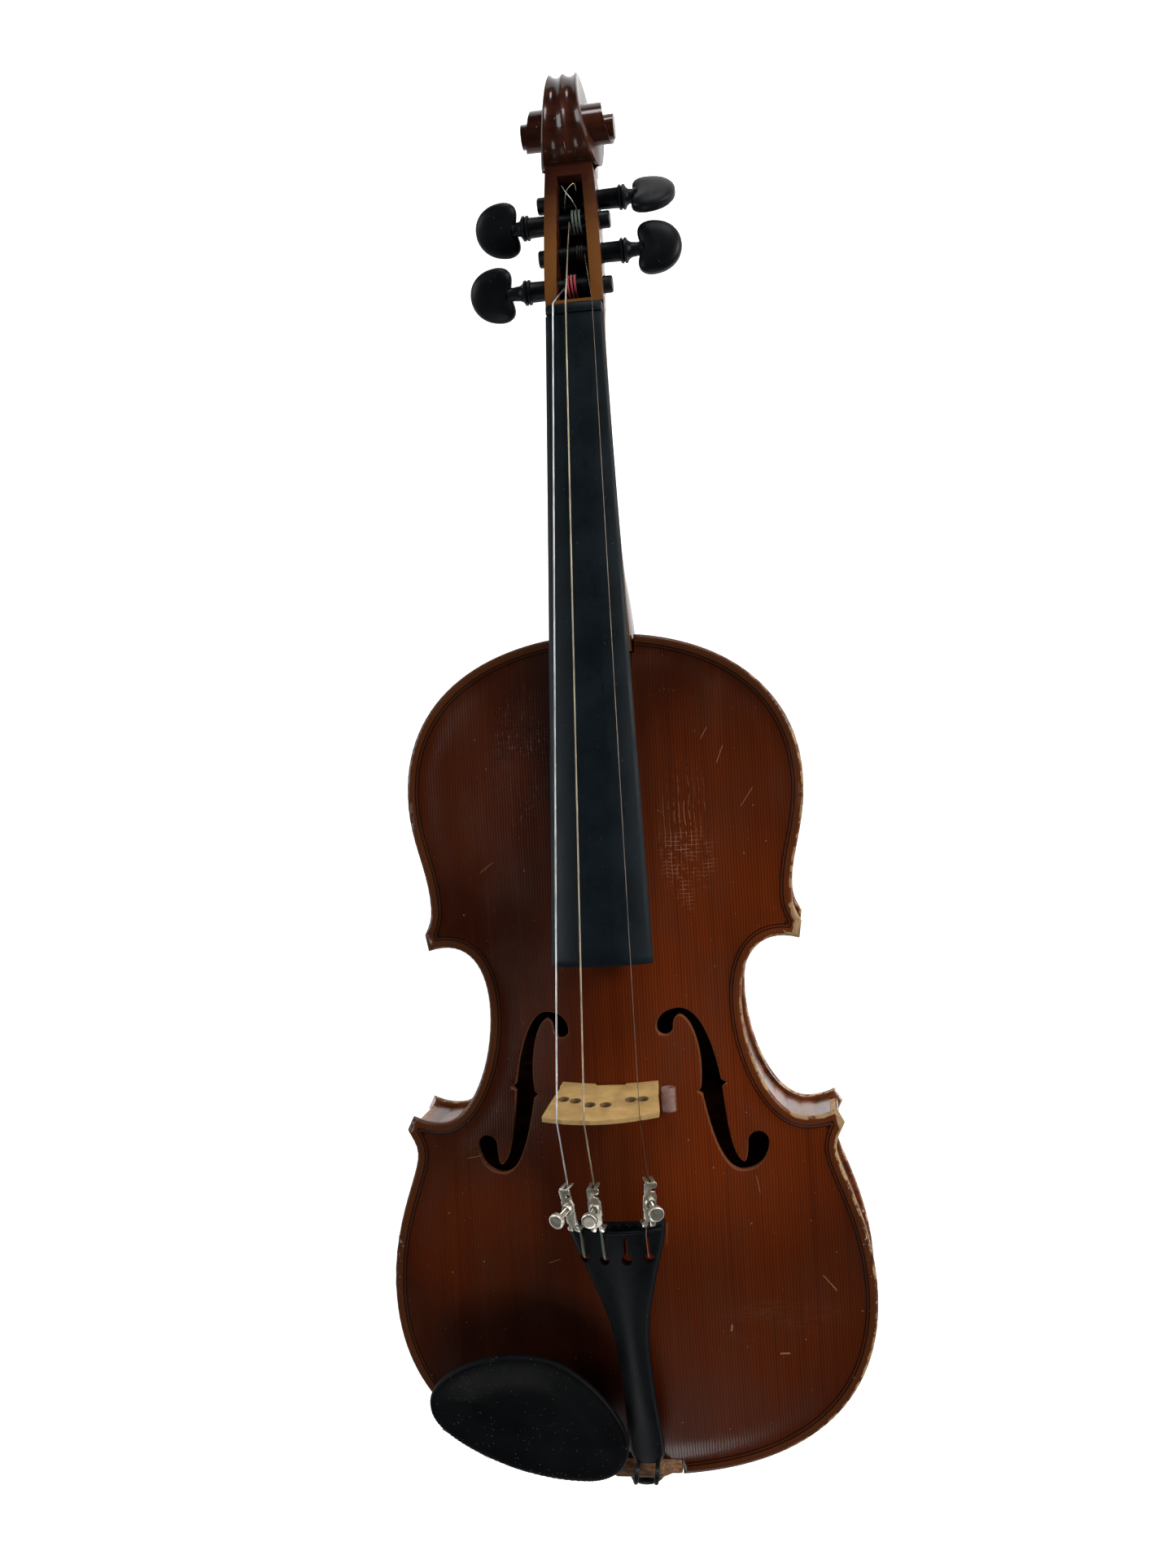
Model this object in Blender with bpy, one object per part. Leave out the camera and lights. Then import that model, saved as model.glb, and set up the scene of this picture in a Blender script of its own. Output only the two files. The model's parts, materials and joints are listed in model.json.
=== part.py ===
"""A full-size violin, lying on its back, as an assembly of separate pieces.

Every length in this script is in millimetres in the maker's frame: x runs
towards the treble side, y from the lower edge of the body towards the scroll,
and z up from the edge of the belly. make() turns that into metres, with the
origin in the middle of the footprint and z = 0 at the lowest point of the back.
"""

from math import atan2, cos, pi, radians, sin, sqrt

import bpy
import numpy as np
from mathutils import Matrix, Vector
from mathutils.geometry import delaunay_2d_cdt

MM = 0.001

# Driving dimensions, in millimetres
BODY_LENGTH = 354.3
SCROLL_TOP = 590.4
BUTTON_REACH = 11.0
RIB_TOP = -4.3
RIB_BOTTOM = -34.2
BACK_PLANE = -34.5
EDGE = 4.0
BELLY_ARCH = 11.5
BACK_ARCH = 11.0
OVERHANG = 2.2
RIB = 1.0
GAP = 0.3
NUT_Y = 491.3
BOARD_END = 486.7
BOARD_LENGTH = 266.2
BOARD_SLOPE = 0.1018
NUT_EDGE_Z = -3.3
BOARD_RADIUS = 42.0
BRIDGE_FOOT = (-1.8, 167.7)
BRIDGE_LEAN = 5.1
BRIDGE_HEIGHT = 33.0
EYE = (567.0, -18.3)
PEGS = {
    "g": (501.2, -16.0, -1),
    "e": (515.1, -18.0, 1),
    "d": (529.7, -20.3, -1),
    "a": (538.8, -22.0, 1),
}
STRINGS = {
    "g": (0.42, -8.2, -18.6, -16.9, -23.0),
    "d": (0.40, -2.7, -7.6, -6.0, -6.0),
    "e": (0.17, 8.2, 13.7, 15.1, 22.0),
}
KEYHOLES = {"g": -13.6, "d": -5.0, "a": 3.8, "e": 12.4}
KEYHOLE_Y = 103.5
TUNER_Y = {"g": 127.0, "d": 127.6, "e": 129.0}
TUNER_HOLE = 1.2
SCREW_PITCH = 0.7

Y_MIDDLE = 0.5 * (SCROLL_TOP - BUTTON_REACH)
Z_LOW = -BACK_PLANE + EDGE + BACK_ARCH

COLOURS = {
    "spruce": (0.235, 0.045, 0.016, 0.28, 0.0),
    "maple": (0.16, 0.035, 0.018, 0.25, 0.0),
    "bare_wood": (0.62, 0.43, 0.26, 0.7, 0.0),
    "bridge_maple": (0.52, 0.33, 0.15, 0.55, 0.0),
    "saddle_wood": (0.20, 0.10, 0.045, 0.6, 0.0),
    "ebony": (0.018, 0.018, 0.021, 0.45, 0.0),
    "black_plastic": (0.012, 0.012, 0.014, 0.5, 0.0),
    "nickel": (0.62, 0.60, 0.56, 0.28, 1.0),
    "wound_string": (0.48, 0.46, 0.44, 0.35, 1.0),
    "cork": (0.36, 0.22, 0.12, 0.9, 0.0),
    "clear_plastic": (0.85, 0.72, 0.72, 0.1, 0.0),
}


# Scene helpers


def clear_scene():
    for obj in list(bpy.data.objects):
        bpy.data.objects.remove(obj, do_unlink=True)


def material(name):
    found = bpy.data.materials.get(name)
    if found:
        return found
    red, green, blue, roughness, metallic = COLOURS[name]
    made = bpy.data.materials.new(name)
    made.use_nodes = True
    shader = made.node_tree.nodes["Principled BSDF"]
    shader.inputs["Base Color"].default_value = (red, green, blue, 1.0)
    shader.inputs["Roughness"].default_value = roughness
    shader.inputs["Metallic"].default_value = metallic
    return made


def world(point):
    return Vector((point[0], point[1] - Y_MIDDLE, point[2] + Z_LOW)) * MM


def outward(solid):
    """Turns every face of a body round if they point inwards."""
    points, faces = solid
    corners = np.array([(f[0], f[i], f[i + 1]) for f in faces for i in range(1, len(f) - 1)])
    a, b, c = np.asarray(points, float)[corners].transpose(1, 0, 2)
    if (a * np.cross(b, c)).sum() > 0:
        return points, faces
    return points, [tuple(face)[::-1] for face in faces]


def make(name, solid, finish, origin=(0.0, Y_MIDDLE, -Z_LOW), helper=False):
    """An object from (points, faces), its origin at a given design point."""
    points, faces = outward(solid)
    start = world(origin)
    mesh = bpy.data.meshes.new(name)
    local = [tuple(world(point) - start) for point in points]
    mesh.from_pydata(local, [], [tuple(face) for face in faces])
    mesh.validate()
    mesh.materials.append(material(finish))
    mesh.shade_smooth()
    mesh.set_sharp_from_angle(angle=radians(35))
    obj = bpy.data.objects.new(name, mesh)
    obj.location = start
    bpy.context.scene.collection.objects.link(obj)
    if helper:
        obj.hide_render = True
        obj.display_type = "WIRE"
    return obj


def boolean(obj, other, operation):
    modifier = obj.modifiers.new(operation.title() + " " + other.name, "BOOLEAN")
    modifier.operation = operation
    modifier.object = other
    modifier.solver = "EXACT"


# Curves and interpolation


def ease(value, low, high):
    """0 below low, 1 above high and a smooth step between."""
    t = np.clip((np.asarray(value, float) - low) / (high - low), 0.0, 1.0)
    return t * t * (3.0 - 2.0 * t)


def through(value, knots):
    """Smooth curve through (position, value) knots, flat at its turning points."""
    xs = np.array([knot[0] for knot in knots], float)
    ys = np.array([knot[1] for knot in knots], float)
    slope = np.diff(ys) / np.diff(xs)
    same = slope[:-1] * slope[1:] > 0
    total = np.where(same, slope[:-1] + slope[1:], 1.0)
    inner = np.where(same, 2.0 * slope[:-1] * slope[1:] / total, 0.0)
    tangent = np.concatenate([[slope[0]], inner, [slope[-1]]])
    at = np.clip(np.asarray(value, float), xs[0], xs[-1])
    i = np.clip(np.searchsorted(xs, at) - 1, 0, len(xs) - 2)
    width = xs[i + 1] - xs[i]
    t = (at - xs[i]) / width
    first = ys[i] * (1 + 2 * t) * (1 - t) ** 2 + tangent[i] * width * t * (1 - t) ** 2
    last = ys[i + 1] * t * t * (3 - 2 * t) - tangent[i + 1] * width * t * t * (1 - t)
    return first + last


def bezier(start, pull, push, end, count):
    t = np.linspace(0.0, 1.0, count + 1)[:, None]
    p0, p1, p2, p3 = (np.array(point, float) for point in (start, pull, push, end))
    near = (1 - t) ** 3 * p0 + 3 * (1 - t) ** 2 * t * p1
    return near + 3 * (1 - t) * t * t * p2 + t**3 * p3


def chain(segments, detail=1.0):
    """One polyline from Bezier segments that share their end points."""
    parts = []
    for *corners, count in segments:
        curve = bezier(*corners, max(1, round(count * detail)))
        parts.append(curve if not parts else curve[1:])
    return np.vstack(parts)


def arc(centre, radius, start, end, count):
    angles = np.radians(np.linspace(start, end, count + 1))
    ring = np.stack([np.cos(angles), np.sin(angles)], axis=1)
    return np.array(centre) + radius * ring


def mirrored(points):
    return np.asarray(points)[::-1] * np.array([-1.0, 1.0])


def offset(curve, distance):
    """The curve moved to its right-hand side, which is inwards on the outline."""
    step = np.gradient(curve, axis=0)
    step /= np.linalg.norm(step, axis=1)[:, None]
    return curve + distance * np.stack([step[:, 1], -step[:, 0]], axis=1)


def nearest(points, line):
    """Distance from each point to a polyline."""
    points = np.atleast_2d(points)
    a = line[:-1]
    run = line[1:] - a
    along = ((points[:, None] - a) * run).sum(2) / (run * run).sum(1)
    foot = a + np.clip(along, 0, 1)[..., None] * run
    return np.sqrt(((points[:, None] - foot) ** 2).sum(2)).min(1)


def inside(points, loop):
    x, y = np.atleast_2d(points).T
    found = np.zeros(len(x), bool)
    for (x0, y0), (x1, y1) in zip(loop, np.roll(loop, -1, axis=0)):
        crosses = (y0 > y) != (y1 > y)
        if y0 != y1:
            found ^= crosses & (x < (x1 - x0) * (y - y0) / (y1 - y0) + x0)
    return found


# Solids from curves


def slab(outer, holes, extra, lower, upper):
    """A closed sheet over a flat outline, between two surfaces of (x, y)."""
    loops = [np.asarray(outer, float)] + [np.asarray(hole, float) for hole in holes]
    points, edges = [], []
    for loop in loops:
        first = len(points)
        points.extend(map(tuple, loop))
        edges.extend((first + i, first + (i + 1) % len(loop)) for i in range(len(loop)))
    points.extend(map(tuple, extra))
    flat, _, triangles, *_ = delaunay_2d_cdt([Vector(p) for p in points], edges, [], 0, 1e-5)
    flat = np.array([tuple(p) for p in flat])
    triangles = np.array([tuple(t) for t in triangles])
    middle = flat[triangles].mean(1)
    keep = inside(middle, loops[0])
    for hole in loops[1:]:
        keep &= ~inside(middle, hole)
    triangles = triangles[keep]
    a, b, c = flat[triangles].transpose(1, 0, 2)
    turn = (b - a)[:, 0] * (c - a)[:, 1] - (b - a)[:, 1] * (c - a)[:, 0]
    triangles[turn < 0] = triangles[turn < 0][:, ::-1]
    used = np.unique(triangles)
    place = np.zeros(len(flat), int)
    place[used] = np.arange(len(used))
    triangles = place[triangles]
    flat = flat[used]
    count = len(flat)
    faces = [tuple(t) for t in triangles]
    faces += [tuple(t[::-1] + count) for t in triangles]
    directed = {(t[i], t[(i + 1) % 3]) for t in triangles for i in range(3)}
    for p, q in sorted(directed):
        if (q, p) not in directed:
            faces.append((p + count, q + count, q, p))
    return np.vstack([upper(flat), lower(flat)]), faces


def level(z):
    return lambda flat: np.column_stack([flat, np.full(len(flat), float(z))])


def prism(outline, bottom, top):
    return slab(outline, [], [], level(bottom), level(top))


def loft(sections, closed=False):
    """A skin over rings with equal counts, capped unless it closes on itself."""
    count = len(sections[0])
    rings = len(sections)
    points = np.vstack(sections)
    faces = []
    for k in range(rings if closed else rings - 1):
        a, b = k * count, ((k + 1) % rings) * count
        faces += [
            (a + i, a + (i + 1) % count, b + (i + 1) % count, b + i) for i in range(count)
        ]
    if not closed:
        faces.append(tuple(range(count))[::-1])
        faces.append(tuple(range((rings - 1) * count, rings * count)))
    return points, faces


def turned(profile, sides, centre=(0, 0, 0), axis="z", frame=None):
    """A profile of (radius, height) rows turned about an axis through centre."""
    angles = np.linspace(0, 2 * pi, sides, endpoint=False)
    rings = []
    for radius, height in profile:
        ring = np.stack(
            [radius * np.cos(angles), radius * np.sin(angles), np.full(sides, float(height))],
            axis=1,
        )
        rings.append(ring)
    points, faces = loft(rings)
    if axis == "x":
        points = points[:, [2, 0, 1]]
    if axis == "y":
        points = points[:, [1, 2, 0]]
    if frame is not None:
        points = points @ frame.T
    return points + np.array(centre, float), faces


def tube(path, radius, sides):
    """A round rod along a path, its rings carried along without twist."""
    path = np.asarray(path, float)
    step = np.gradient(path, axis=0)
    step /= np.linalg.norm(step, axis=1)[:, None]
    side = np.cross(step[0], (0.0, 0.31, 0.95))
    radii = np.broadcast_to(radius, len(path))
    angles = np.linspace(0, 2 * pi, sides, endpoint=False)
    rings = []
    for centre, ahead, size in zip(path, step, radii):
        side = side - ahead * side.dot(ahead)
        side /= np.linalg.norm(side)
        up = np.cross(ahead, side)
        rings.append(
            centre + size * (np.outer(np.cos(angles), side) + np.outer(np.sin(angles), up))
        )
    return loft(rings)


def box(low, high):
    (x0, y0, z0), (x1, y1, z1) = low, high
    return prism([(x0, y0), (x1, y0), (x1, y1), (x0, y1)], z0, z1)


def moved(solid, frame, centre):
    points, faces = solid
    return np.asarray(points) @ frame.T + np.array(centre, float), faces


def joined(*solids):
    points, faces, first = [], [], 0
    for solid_points, solid_faces in solids:
        points.append(np.asarray(solid_points))
        faces += [tuple(i + first for i in face) for face in solid_faces]
        first += len(solid_points)
    return np.vstack(points), faces


# The outline of the body, right half, from the neck down

UPPER_BOUT = [
    ((0, 354.3), (46.3, 354.3), (83.2, 332.6), (83.2, 289), 15),
    ((83.2, 289), (83.2, 270.2), (76.1, 259), (76.1, 243), 5),
    ((76.1, 243), (76.1, 238.3), (77.1, 236.1), (79.4, 231.8), 2),
]
MIDDLE_BOUT = [
    ((78.2, 224.8), (60, 230.3), (53.1, 216.1), (53.1, 199), 8),
    ((53.1, 199), (53.1, 176.3), (64, 151.2), (77.5, 151.2), 8),
    ((77.5, 151.2), (81.7, 151.2), (85.3, 152), (89.5, 154), 2),
]
LOWER_BOUT = [
    ((92.4, 148.5), (90.8, 144.5), (88.6, 142.3), (88.6, 138), 2),
    ((88.6, 138), (88.6, 129), (102.1, 108.6), (102.1, 78), 6),
    ((102.1, 78), (102.1, 24.8), (60.1, 0), (0, 0), 17),
]
ARCH_WIDTH = [
    (-4, 0), (4, 34), (20, 68), (45, 88), (79, 96), (112, 90), (140, 75), (165, 57), (199, 49),
    (226, 54), (250, 65), (289, 78), (320, 70), (340, 51), (351, 30), (358, 0),
]  # fmt: skip
F_HOLE = [
    ((24.9, 191.5), (24.9, 194), (26, 195.9), (27.6, 195.8), 2),
    ((27.6, 195.8), (33, 194.5), (36.8, 178), (34.8, 165.2), 5),
    ((34.8, 165.2), (34.4, 164.6), (33.8, 164.2), (33.2, 163.9), 1),
    ((33.2, 163.9), (33.9, 163.5), (34.6, 162.9), (35.3, 162.2), 1),
    ((35.3, 162.2), (37.6, 150), (41.5, 130.6), (50.6, 130.6), 6),
    ((50.6, 130.6), (57.5, 130.6), (61.3, 136), (61.3, 141.8), 3),
]
F_HOLE_BACK = [
    ((52.7, 141.8), (52.6, 138), (52.3, 134.6), (51, 134.2), 2),
    ((51, 134.2), (46.5, 135.5), (44.6, 150), (43.4, 164.9), 5),
    ((43.4, 164.9), (44, 165.6), (44.7, 166.2), (45.5, 166.6), 1),
    ((45.5, 166.6), (44.6, 166.9), (43.9, 167.4), (43.1, 168.1), 1),
    ((43.1, 168.1), (40.5, 184), (35.5, 198.7), (27.2, 198.7), 5),
    ((27.2, 198.7), (21.5, 198.7), (18.3, 195.5), (18.3, 191.3), 3),
]


def half_outline(detail=1.0):
    bouts = [chain(bout, detail) for bout in (UPPER_BOUT, MIDDLE_BOUT, LOWER_BOUT)]
    return np.vstack(bouts)


def full_outline(detail=1.0):
    half = half_outline(detail)
    return np.vstack([half, mirrored(half)[1:-1]])


def belly_outline(detail=1.0):
    """The outline with the neck's mortise and the saddle's notch cut into it."""
    half = half_outline(detail)
    half = half[(half[:, 0] > 19.0)]
    top = [(17.2, 345.4), (17.2, 353.0)]
    bottom = [(18.0, 1.1), (18.0, 7.8)]
    half = np.vstack([top, half, bottom])
    return np.vstack([half, mirrored(half)])


def back_outline(detail=1.0):
    """The outline with the button that carries the foot of the neck."""
    half = half_outline(detail)
    half = half[(half[:, 0] > 12.5) | (half[:, 1] < 100)]
    button = arc((0, 357.5), 10.6, 90, 0, 5)
    half = np.vstack([button, [(10.6, 354.6)], half])
    return np.vstack([half, mirrored(half)[1:-1]])


def f_hole(side, detail=1.0):
    first = chain(F_HOLE, detail)
    lower_eye = arc((57, 141.8), 4.3, 0, 180, max(6, round(6 * detail)))
    second = chain(F_HOLE_BACK, detail)
    upper_eye = arc((21.6, 191.4), 3.3, 180, 360, max(6, round(6 * detail)))
    loop = np.vstack([first, lower_eye[1:-1], second, upper_eye[1:-1]])
    return loop * np.array([side, 1.0])


OUTLINE_LINE = np.vstack([full_outline(2.0), full_outline(2.0)[:1]])


def arch(flat, height):
    """The smooth arching over the outline, 0 at the edge and height in the middle."""
    x, y = flat[:, 0], flat[:, 1]
    along = np.clip(np.minimum(y, BODY_LENGTH - y) / (0.5 * BODY_LENGTH), 0, 1)
    long_arch = 1.0 - (1.0 - along) ** 2.6
    across = np.clip(np.abs(x) / np.maximum(through(y, ARCH_WIDTH), 1.0), 0, 1)
    return height * long_arch * (0.5 + 0.5 * np.cos(pi * across)) ** 0.9


def plate_outer(flat, height):
    """Height of a plate's outer face above its inner edge plane."""
    depth = nearest(flat, OUTLINE_LINE)
    channel = 0.9 * ease(depth, 1.5, 6.0) * (1.0 - ease(depth, 6.0, 15.0))
    return EDGE + arch(flat, height) - channel


def plate_inner(flat, height):
    depth = nearest(flat, OUTLINE_LINE)
    return arch(flat, height + 1.0) * ease(depth, 7.0, 15.0)


def belly_top(flat):
    return np.column_stack([flat, plate_outer(flat, BELLY_ARCH) - EDGE])


def belly_under(flat):
    return np.column_stack([flat, plate_inner(flat, BELLY_ARCH) - EDGE])


def back_top(flat):
    return np.column_stack([flat, BACK_PLANE - plate_inner(flat, BACK_ARCH)])


def back_under(flat):
    return np.column_stack([flat, BACK_PLANE - plate_outer(flat, BACK_ARCH)])


def fill_points(spacing):
    """Rings that follow the edge and a staggered grid over the middle."""
    half = half_outline(0.7)
    rings = []
    for depth, skip in ((6.0, 1), (12.0, 2)):
        ring = offset(half, depth)[::skip]
        ring = ring[nearest(ring, OUTLINE_LINE) > depth - 0.3]
        rings.append(ring)
        rings.append(ring * np.array([-1.0, 1.0]))
    rows = np.arange(14, BODY_LENGTH - 12, spacing * 0.87)
    grid = []
    for k, y in enumerate(rows):
        start = 0.0 if k % 2 else spacing * 0.5
        xs = np.arange(start, 100, spacing)
        grid += [(x, y) for x in xs] + [(-x, y) for x in xs if x > 0]
    grid = np.array(grid)
    grid = grid[inside(grid, full_outline()) & (nearest(grid, OUTLINE_LINE) > 17)]
    return np.vstack(rings + [grid])


def clear_of(points, loops, distance):
    keep = np.ones(len(points), bool)
    for loop in loops:
        closed = np.vstack([loop, loop[:1]])
        keep &= (nearest(points, closed) > distance) & ~inside(points, loop)
    return points[keep]


def plates():
    holes = [f_hole(1), f_hole(-1)]
    outline = belly_outline()
    extra = clear_of(fill_points(19.0), holes, 2.5)
    extra = extra[inside(extra, outline)]
    extra = extra[nearest(extra, np.vstack([outline, outline[:1]])) > 2.5]
    make("top_plate", slab(outline, holes, extra, belly_under, belly_top), "spruce")
    extra = fill_points(19.0)
    make("back_plate", slab(back_outline(), [], extra, back_under, back_top), "maple")


# Ribs, blocks and linings

BOUTS = {"upper": UPPER_BOUT, "middle": MIDDLE_BOUT, "lower": LOWER_BOUT}


def strip(curve, near, far):
    return np.vstack([offset(curve, near), offset(curve, far)[::-1]])


def rib_curve(bout):
    curve = chain(BOUTS[bout], 0.85)
    if bout == "upper":
        keep = curve[curve[:, 0] > 17.6]
        return np.vstack([[(17.6, 353.9)], keep])
    if bout == "lower":
        keep = curve[(curve[:, 0] > 2.0)]
        return np.vstack([keep, [(0.15, 0.0)]])
    upper_line = offset(chain(UPPER_BOUT), OVERHANG + RIB)
    lower_line = offset(chain(LOWER_BOUT), OVERHANG + RIB)
    dense = chain(MIDDLE_BOUT, 4)
    face = offset(dense, OVERHANG + RIB)
    clear = (nearest(face, upper_line) > 0.45) & (nearest(face, lower_line) > 0.45)
    clear &= nearest(face, OUTLINE_LINE) > OVERHANG + RIB - 0.1
    found = dense[clear]
    return np.vstack([found[:-1:4], found[-1:]])


def ribs():
    lines = {bout: rib_curve(bout) for bout in BOUTS}
    cutter = make(
        "button_hole",
        turned([(4.3, -1.0), (4.3, 20.0)], 20, (0, 0, -19.2), "y"),
        "maple",
        helper=True,
    )
    for side, word in ((-1, "bass"), (1, "treble")):
        flip = np.array([side, 1.0])
        for bout, curve in lines.items():
            shape = strip(curve, OVERHANG, OVERHANG + RIB) * flip
            rib = make(f"rib_{bout}_{word}", prism(shape, RIB_BOTTOM, RIB_TOP), "maple")
            if bout == "lower":
                boolean(rib, cutter, "DIFFERENCE")
        corner_blocks(side, word)
        linings(lines, side, word)
    end_blocks(cutter)


def corner_blocks(side, word):
    flip = np.array([side, 1.0])
    depth = OVERHANG + RIB + GAP
    middle, upper, lower = (
        offset(chain(bout, 2), depth) for bout in (MIDDLE_BOUT, UPPER_BOUT, LOWER_BOUT)
    )
    middle = middle[nearest(middle, OUTLINE_LINE) > depth - 0.1]
    reach = upper[(upper[:, 1] < 246) & (nearest(upper, middle) > 0.8)]
    back = middle[(middle[:, 1] > 215) & (middle[:, 0] > 58) & (nearest(middle, upper) > 0.8)]
    shape = np.vstack([reach, back])[::-1] * flip
    make(f"corner_block_upper_{word}", prism(shape, RIB_BOTTOM, RIB_TOP), "bare_wood")
    start = middle[(middle[:, 1] < 160) & (middle[:, 0] > 61) & (nearest(middle, lower) > 0.8)]
    foot = lower[(lower[:, 1] > 128) & (nearest(lower, middle) > 0.8)]
    shape = np.vstack([start, foot, [(68.0, 139.0)]])[::-1] * flip
    make(f"corner_block_lower_{word}", prism(shape, RIB_BOTTOM, RIB_TOP), "bare_wood")


def linings(lines, side, word):
    flip = np.array([side, 1.0])
    near = OVERHANG + RIB + GAP
    ranges = {"upper": (30.0, 248.5), "lower": (28.0, 126.0)}
    for bout, (least_x, limit) in ranges.items():
        curve = lines[bout]
        beyond = curve[:, 1] > limit if bout == "upper" else curve[:, 1] < limit
        curve = curve[(curve[:, 0] > least_x) & beyond]
        shape = strip(curve, near, near + 2.0) * flip
        top = prism(shape, RIB_TOP - 7.0, RIB_TOP)
        make(f"lining_top_{bout}_{word}", top, "bare_wood")
        bottom = prism(shape, RIB_BOTTOM, RIB_BOTTOM + 7.0)
        make(f"lining_back_{bout}_{word}", bottom, "bare_wood")


def end_blocks(cutter):
    neck_block = [
        (-27, 331), (27, 331), (27, 346.6), (17.3, 348.4), (17.3, 345.4),
        (-17.3, 345.4), (-17.3, 348.4), (-27, 346.6),
    ]  # fmt: skip
    make("neck_block", prism(neck_block, RIB_BOTTOM, RIB_TOP), "bare_wood")
    tail_block = [(-24, 5.3), (-12, 4.1), (12, 4.1), (24, 5.3), (22, 17.5), (-22, 17.5)]
    block = make("tail_block", prism(tail_block, RIB_BOTTOM, RIB_TOP - 0.6), "bare_wood")
    boolean(block, cutter, "DIFFERENCE")


def bar_and_post():
    stations = np.linspace(48, 306, 15)
    sections = []
    for y in stations:
        top = belly_under(np.array([(-18.8, y), (-13.2, y)]))[:, 2] - 1.1
        deep = 1.5 + 9.5 * sin(pi * (y - 40) / 274) ** 0.7
        low = top.min() - deep
        sections.append(
            [(-18.8, y, top[0]), (-13.2, y, top[1]), (-13.8, y, low), (-18.2, y, low)]
        )
    make("bass_bar", loft([np.array(s)[::-1] for s in sections]), "bare_wood")
    angles = np.linspace(0, 2 * pi, 14, endpoint=False)
    ring = np.array([18.0, 163.5]) + 3.1 * np.stack([np.cos(angles), np.sin(angles)], 1)
    low = back_top(ring)
    high = belly_under(ring)
    low[:, 2] += 0.5
    high[:, 2] -= 0.5
    make("sound_post", loft([low, high]), "bare_wood")


# Neck, pegbox and scroll


def board_edge(y):
    return NUT_EDGE_Z + BOARD_SLOPE * (NUT_Y - y)


def board_half_width(y):
    return 12.0 + (BOARD_END - y) * 8.6 / 266.1


NECK_BOTTOM = [
    (345, -34.2), (366, -34.2), (370, -31), (375, -24.5), (383, -16.6), (393, -12.8),
    (404, -11.6), (480, -18.4), (486, -20.6), (492, -26.0), (502, -30.5), (520, -35.3),
    (540, -39.3), (556, -40.6),
]  # fmt: skip
NECK_HALF_WIDTH = [
    (345, 16.7), (354, 16.4), (366, 15.7), (478, 12.1), (486, 12.0), (500, 12.2),
    (520, 11.7), (548, 10.3), (556, 9.2),
]  # fmt: skip
NECK_SQUARE = [(345, 0.42), (362, 0.5), (392, 0.9), (470, 0.92), (492, 0.5), (556, 0.4)]
CHEEK_TOP = [(491.9, -5.9), (548, -13.0), (556, -13.6)]
PEGBOX = [(493.6, 7.8, -21.5), (506, 7.3, -26.5), (530, 6.4, -33.0), (547, 5.6, -33.0)]
NUT_ROWS = [(0.3, 0.5), (1.8, 0.9), (3.8, 0.5), (4.6, -0.6)]


def neck_section(y, top, arcs):
    """A ring of the neck: flat on top and rounded below."""
    half = float(through(y, NECK_HALF_WIDTH))
    low = float(through(y, NECK_BOTTOM))
    power = float(through(y, NECK_SQUARE))
    angles = np.linspace(0, pi, arcs + 1)
    x = half * np.sign(np.cos(angles)) * np.abs(np.cos(angles)) ** power
    z = top - (top - low) * np.sin(angles) ** power
    ring = np.stack([x, np.full(len(x), y), z], axis=1)
    return ring


def neck_solid():
    stations = [345.8, 356, 366, 371, 376, 384, 393, 404, 440, 478, 486, 491.5]
    sections = [neck_section(y, board_edge(y) - 5.3, 10) for y in stations]
    for y in (492.0, 502, 514, 527, 540, 549, 556):
        sections.append(neck_section(y, float(through(y, CHEEK_TOP)), 10))
    return loft(sections)


SCROLL_EDGE = [
    (-180, 17.2), (-135, 21.3), (-90, 24.6), (-45, 24.6), (0, 23.4), (45, 21.0), (90, 18.9),
    (135, 17.1), (180, 15.5), (270, 12.8), (360, 10.4), (450, 8.5), (540, 7.0), (630, 5.9),
    (720, 5.1), (1080, 5.1),
]  # fmt: skip
SCROLL_WIDTH = [
    (-180, 10.3), (-135, 9.9), (-90, 8.8), (-45, 7.1), (0, 6.0), (45, 6.6), (90, 8.0),
    (135, 10.2), (180, 12.2), (270, 13.6), (360, 14.6), (450, 16.3), (540, 18.2), (630, 19.3),
    (720, 19.7), (1080, 19.7),
]  # fmt: skip


def scroll_solid(per_turn):
    """The volute: a fluted rim and, on each side, a spiral that climbs to the eye."""
    theta = np.linspace(-180, 1080, round(3.5 * per_turn) + 1)
    edge = through(theta, SCROLL_EDGE)
    wide = through(theta, SCROLL_WIDTH)
    turn = per_turn
    points, faces = [], []

    def at(k, width, dip=0.0):
        angle = radians(theta[k])
        reach = edge[k] - dip
        points.append((width, EYE[0] + reach * cos(angle), EYE[1] + reach * sin(angle)))
        return len(points) - 1

    shares = (-1.0, -0.5, 0.0, 0.5, 1.0)
    rim = []
    for k in range(turn + 1):
        deep = 1.1 * float(ease(theta[k], -150, -60) * (1.0 - 0.4 * ease(theta[k], 120, 180)))
        rim.append([at(k, s * wide[k], deep if abs(s) == 0.5 else 0.0) for s in shares])
    for a, b in zip(rim, rim[1:] + rim[:1]):
        faces += [(a[i], b[i], b[i + 1], a[i + 1]) for i in range(4)]
    last = len(theta) - 1
    for side in (1, -1):
        top = {k: rim[k][4 if side > 0 else 0] for k in range(turn + 1)}
        base = {}
        for k in range(turn, last):
            base[k] = at(k, side * wide[k - turn])
            if k > turn:
                top[k] = at(k, side * wide[k])
        top[last] = base[last] = top[last - turn]
        found = [(top[turn], top[0], base[turn])]
        for k in range(last - turn):
            found.append((top[k], top[k + 1], base[k + 1 + turn], base[k + turn]))
        for k in range(turn, last):
            found.append((base[k], base[k + 1], top[k + 1], top[k]))
        found.append(tuple(top[k] for k in range(last - turn, last)))
        found = [tuple(dict.fromkeys(face)) for face in found]
        faces += found if side > 0 else [face[::-1] for face in found]
    return np.array(points), faces


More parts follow.
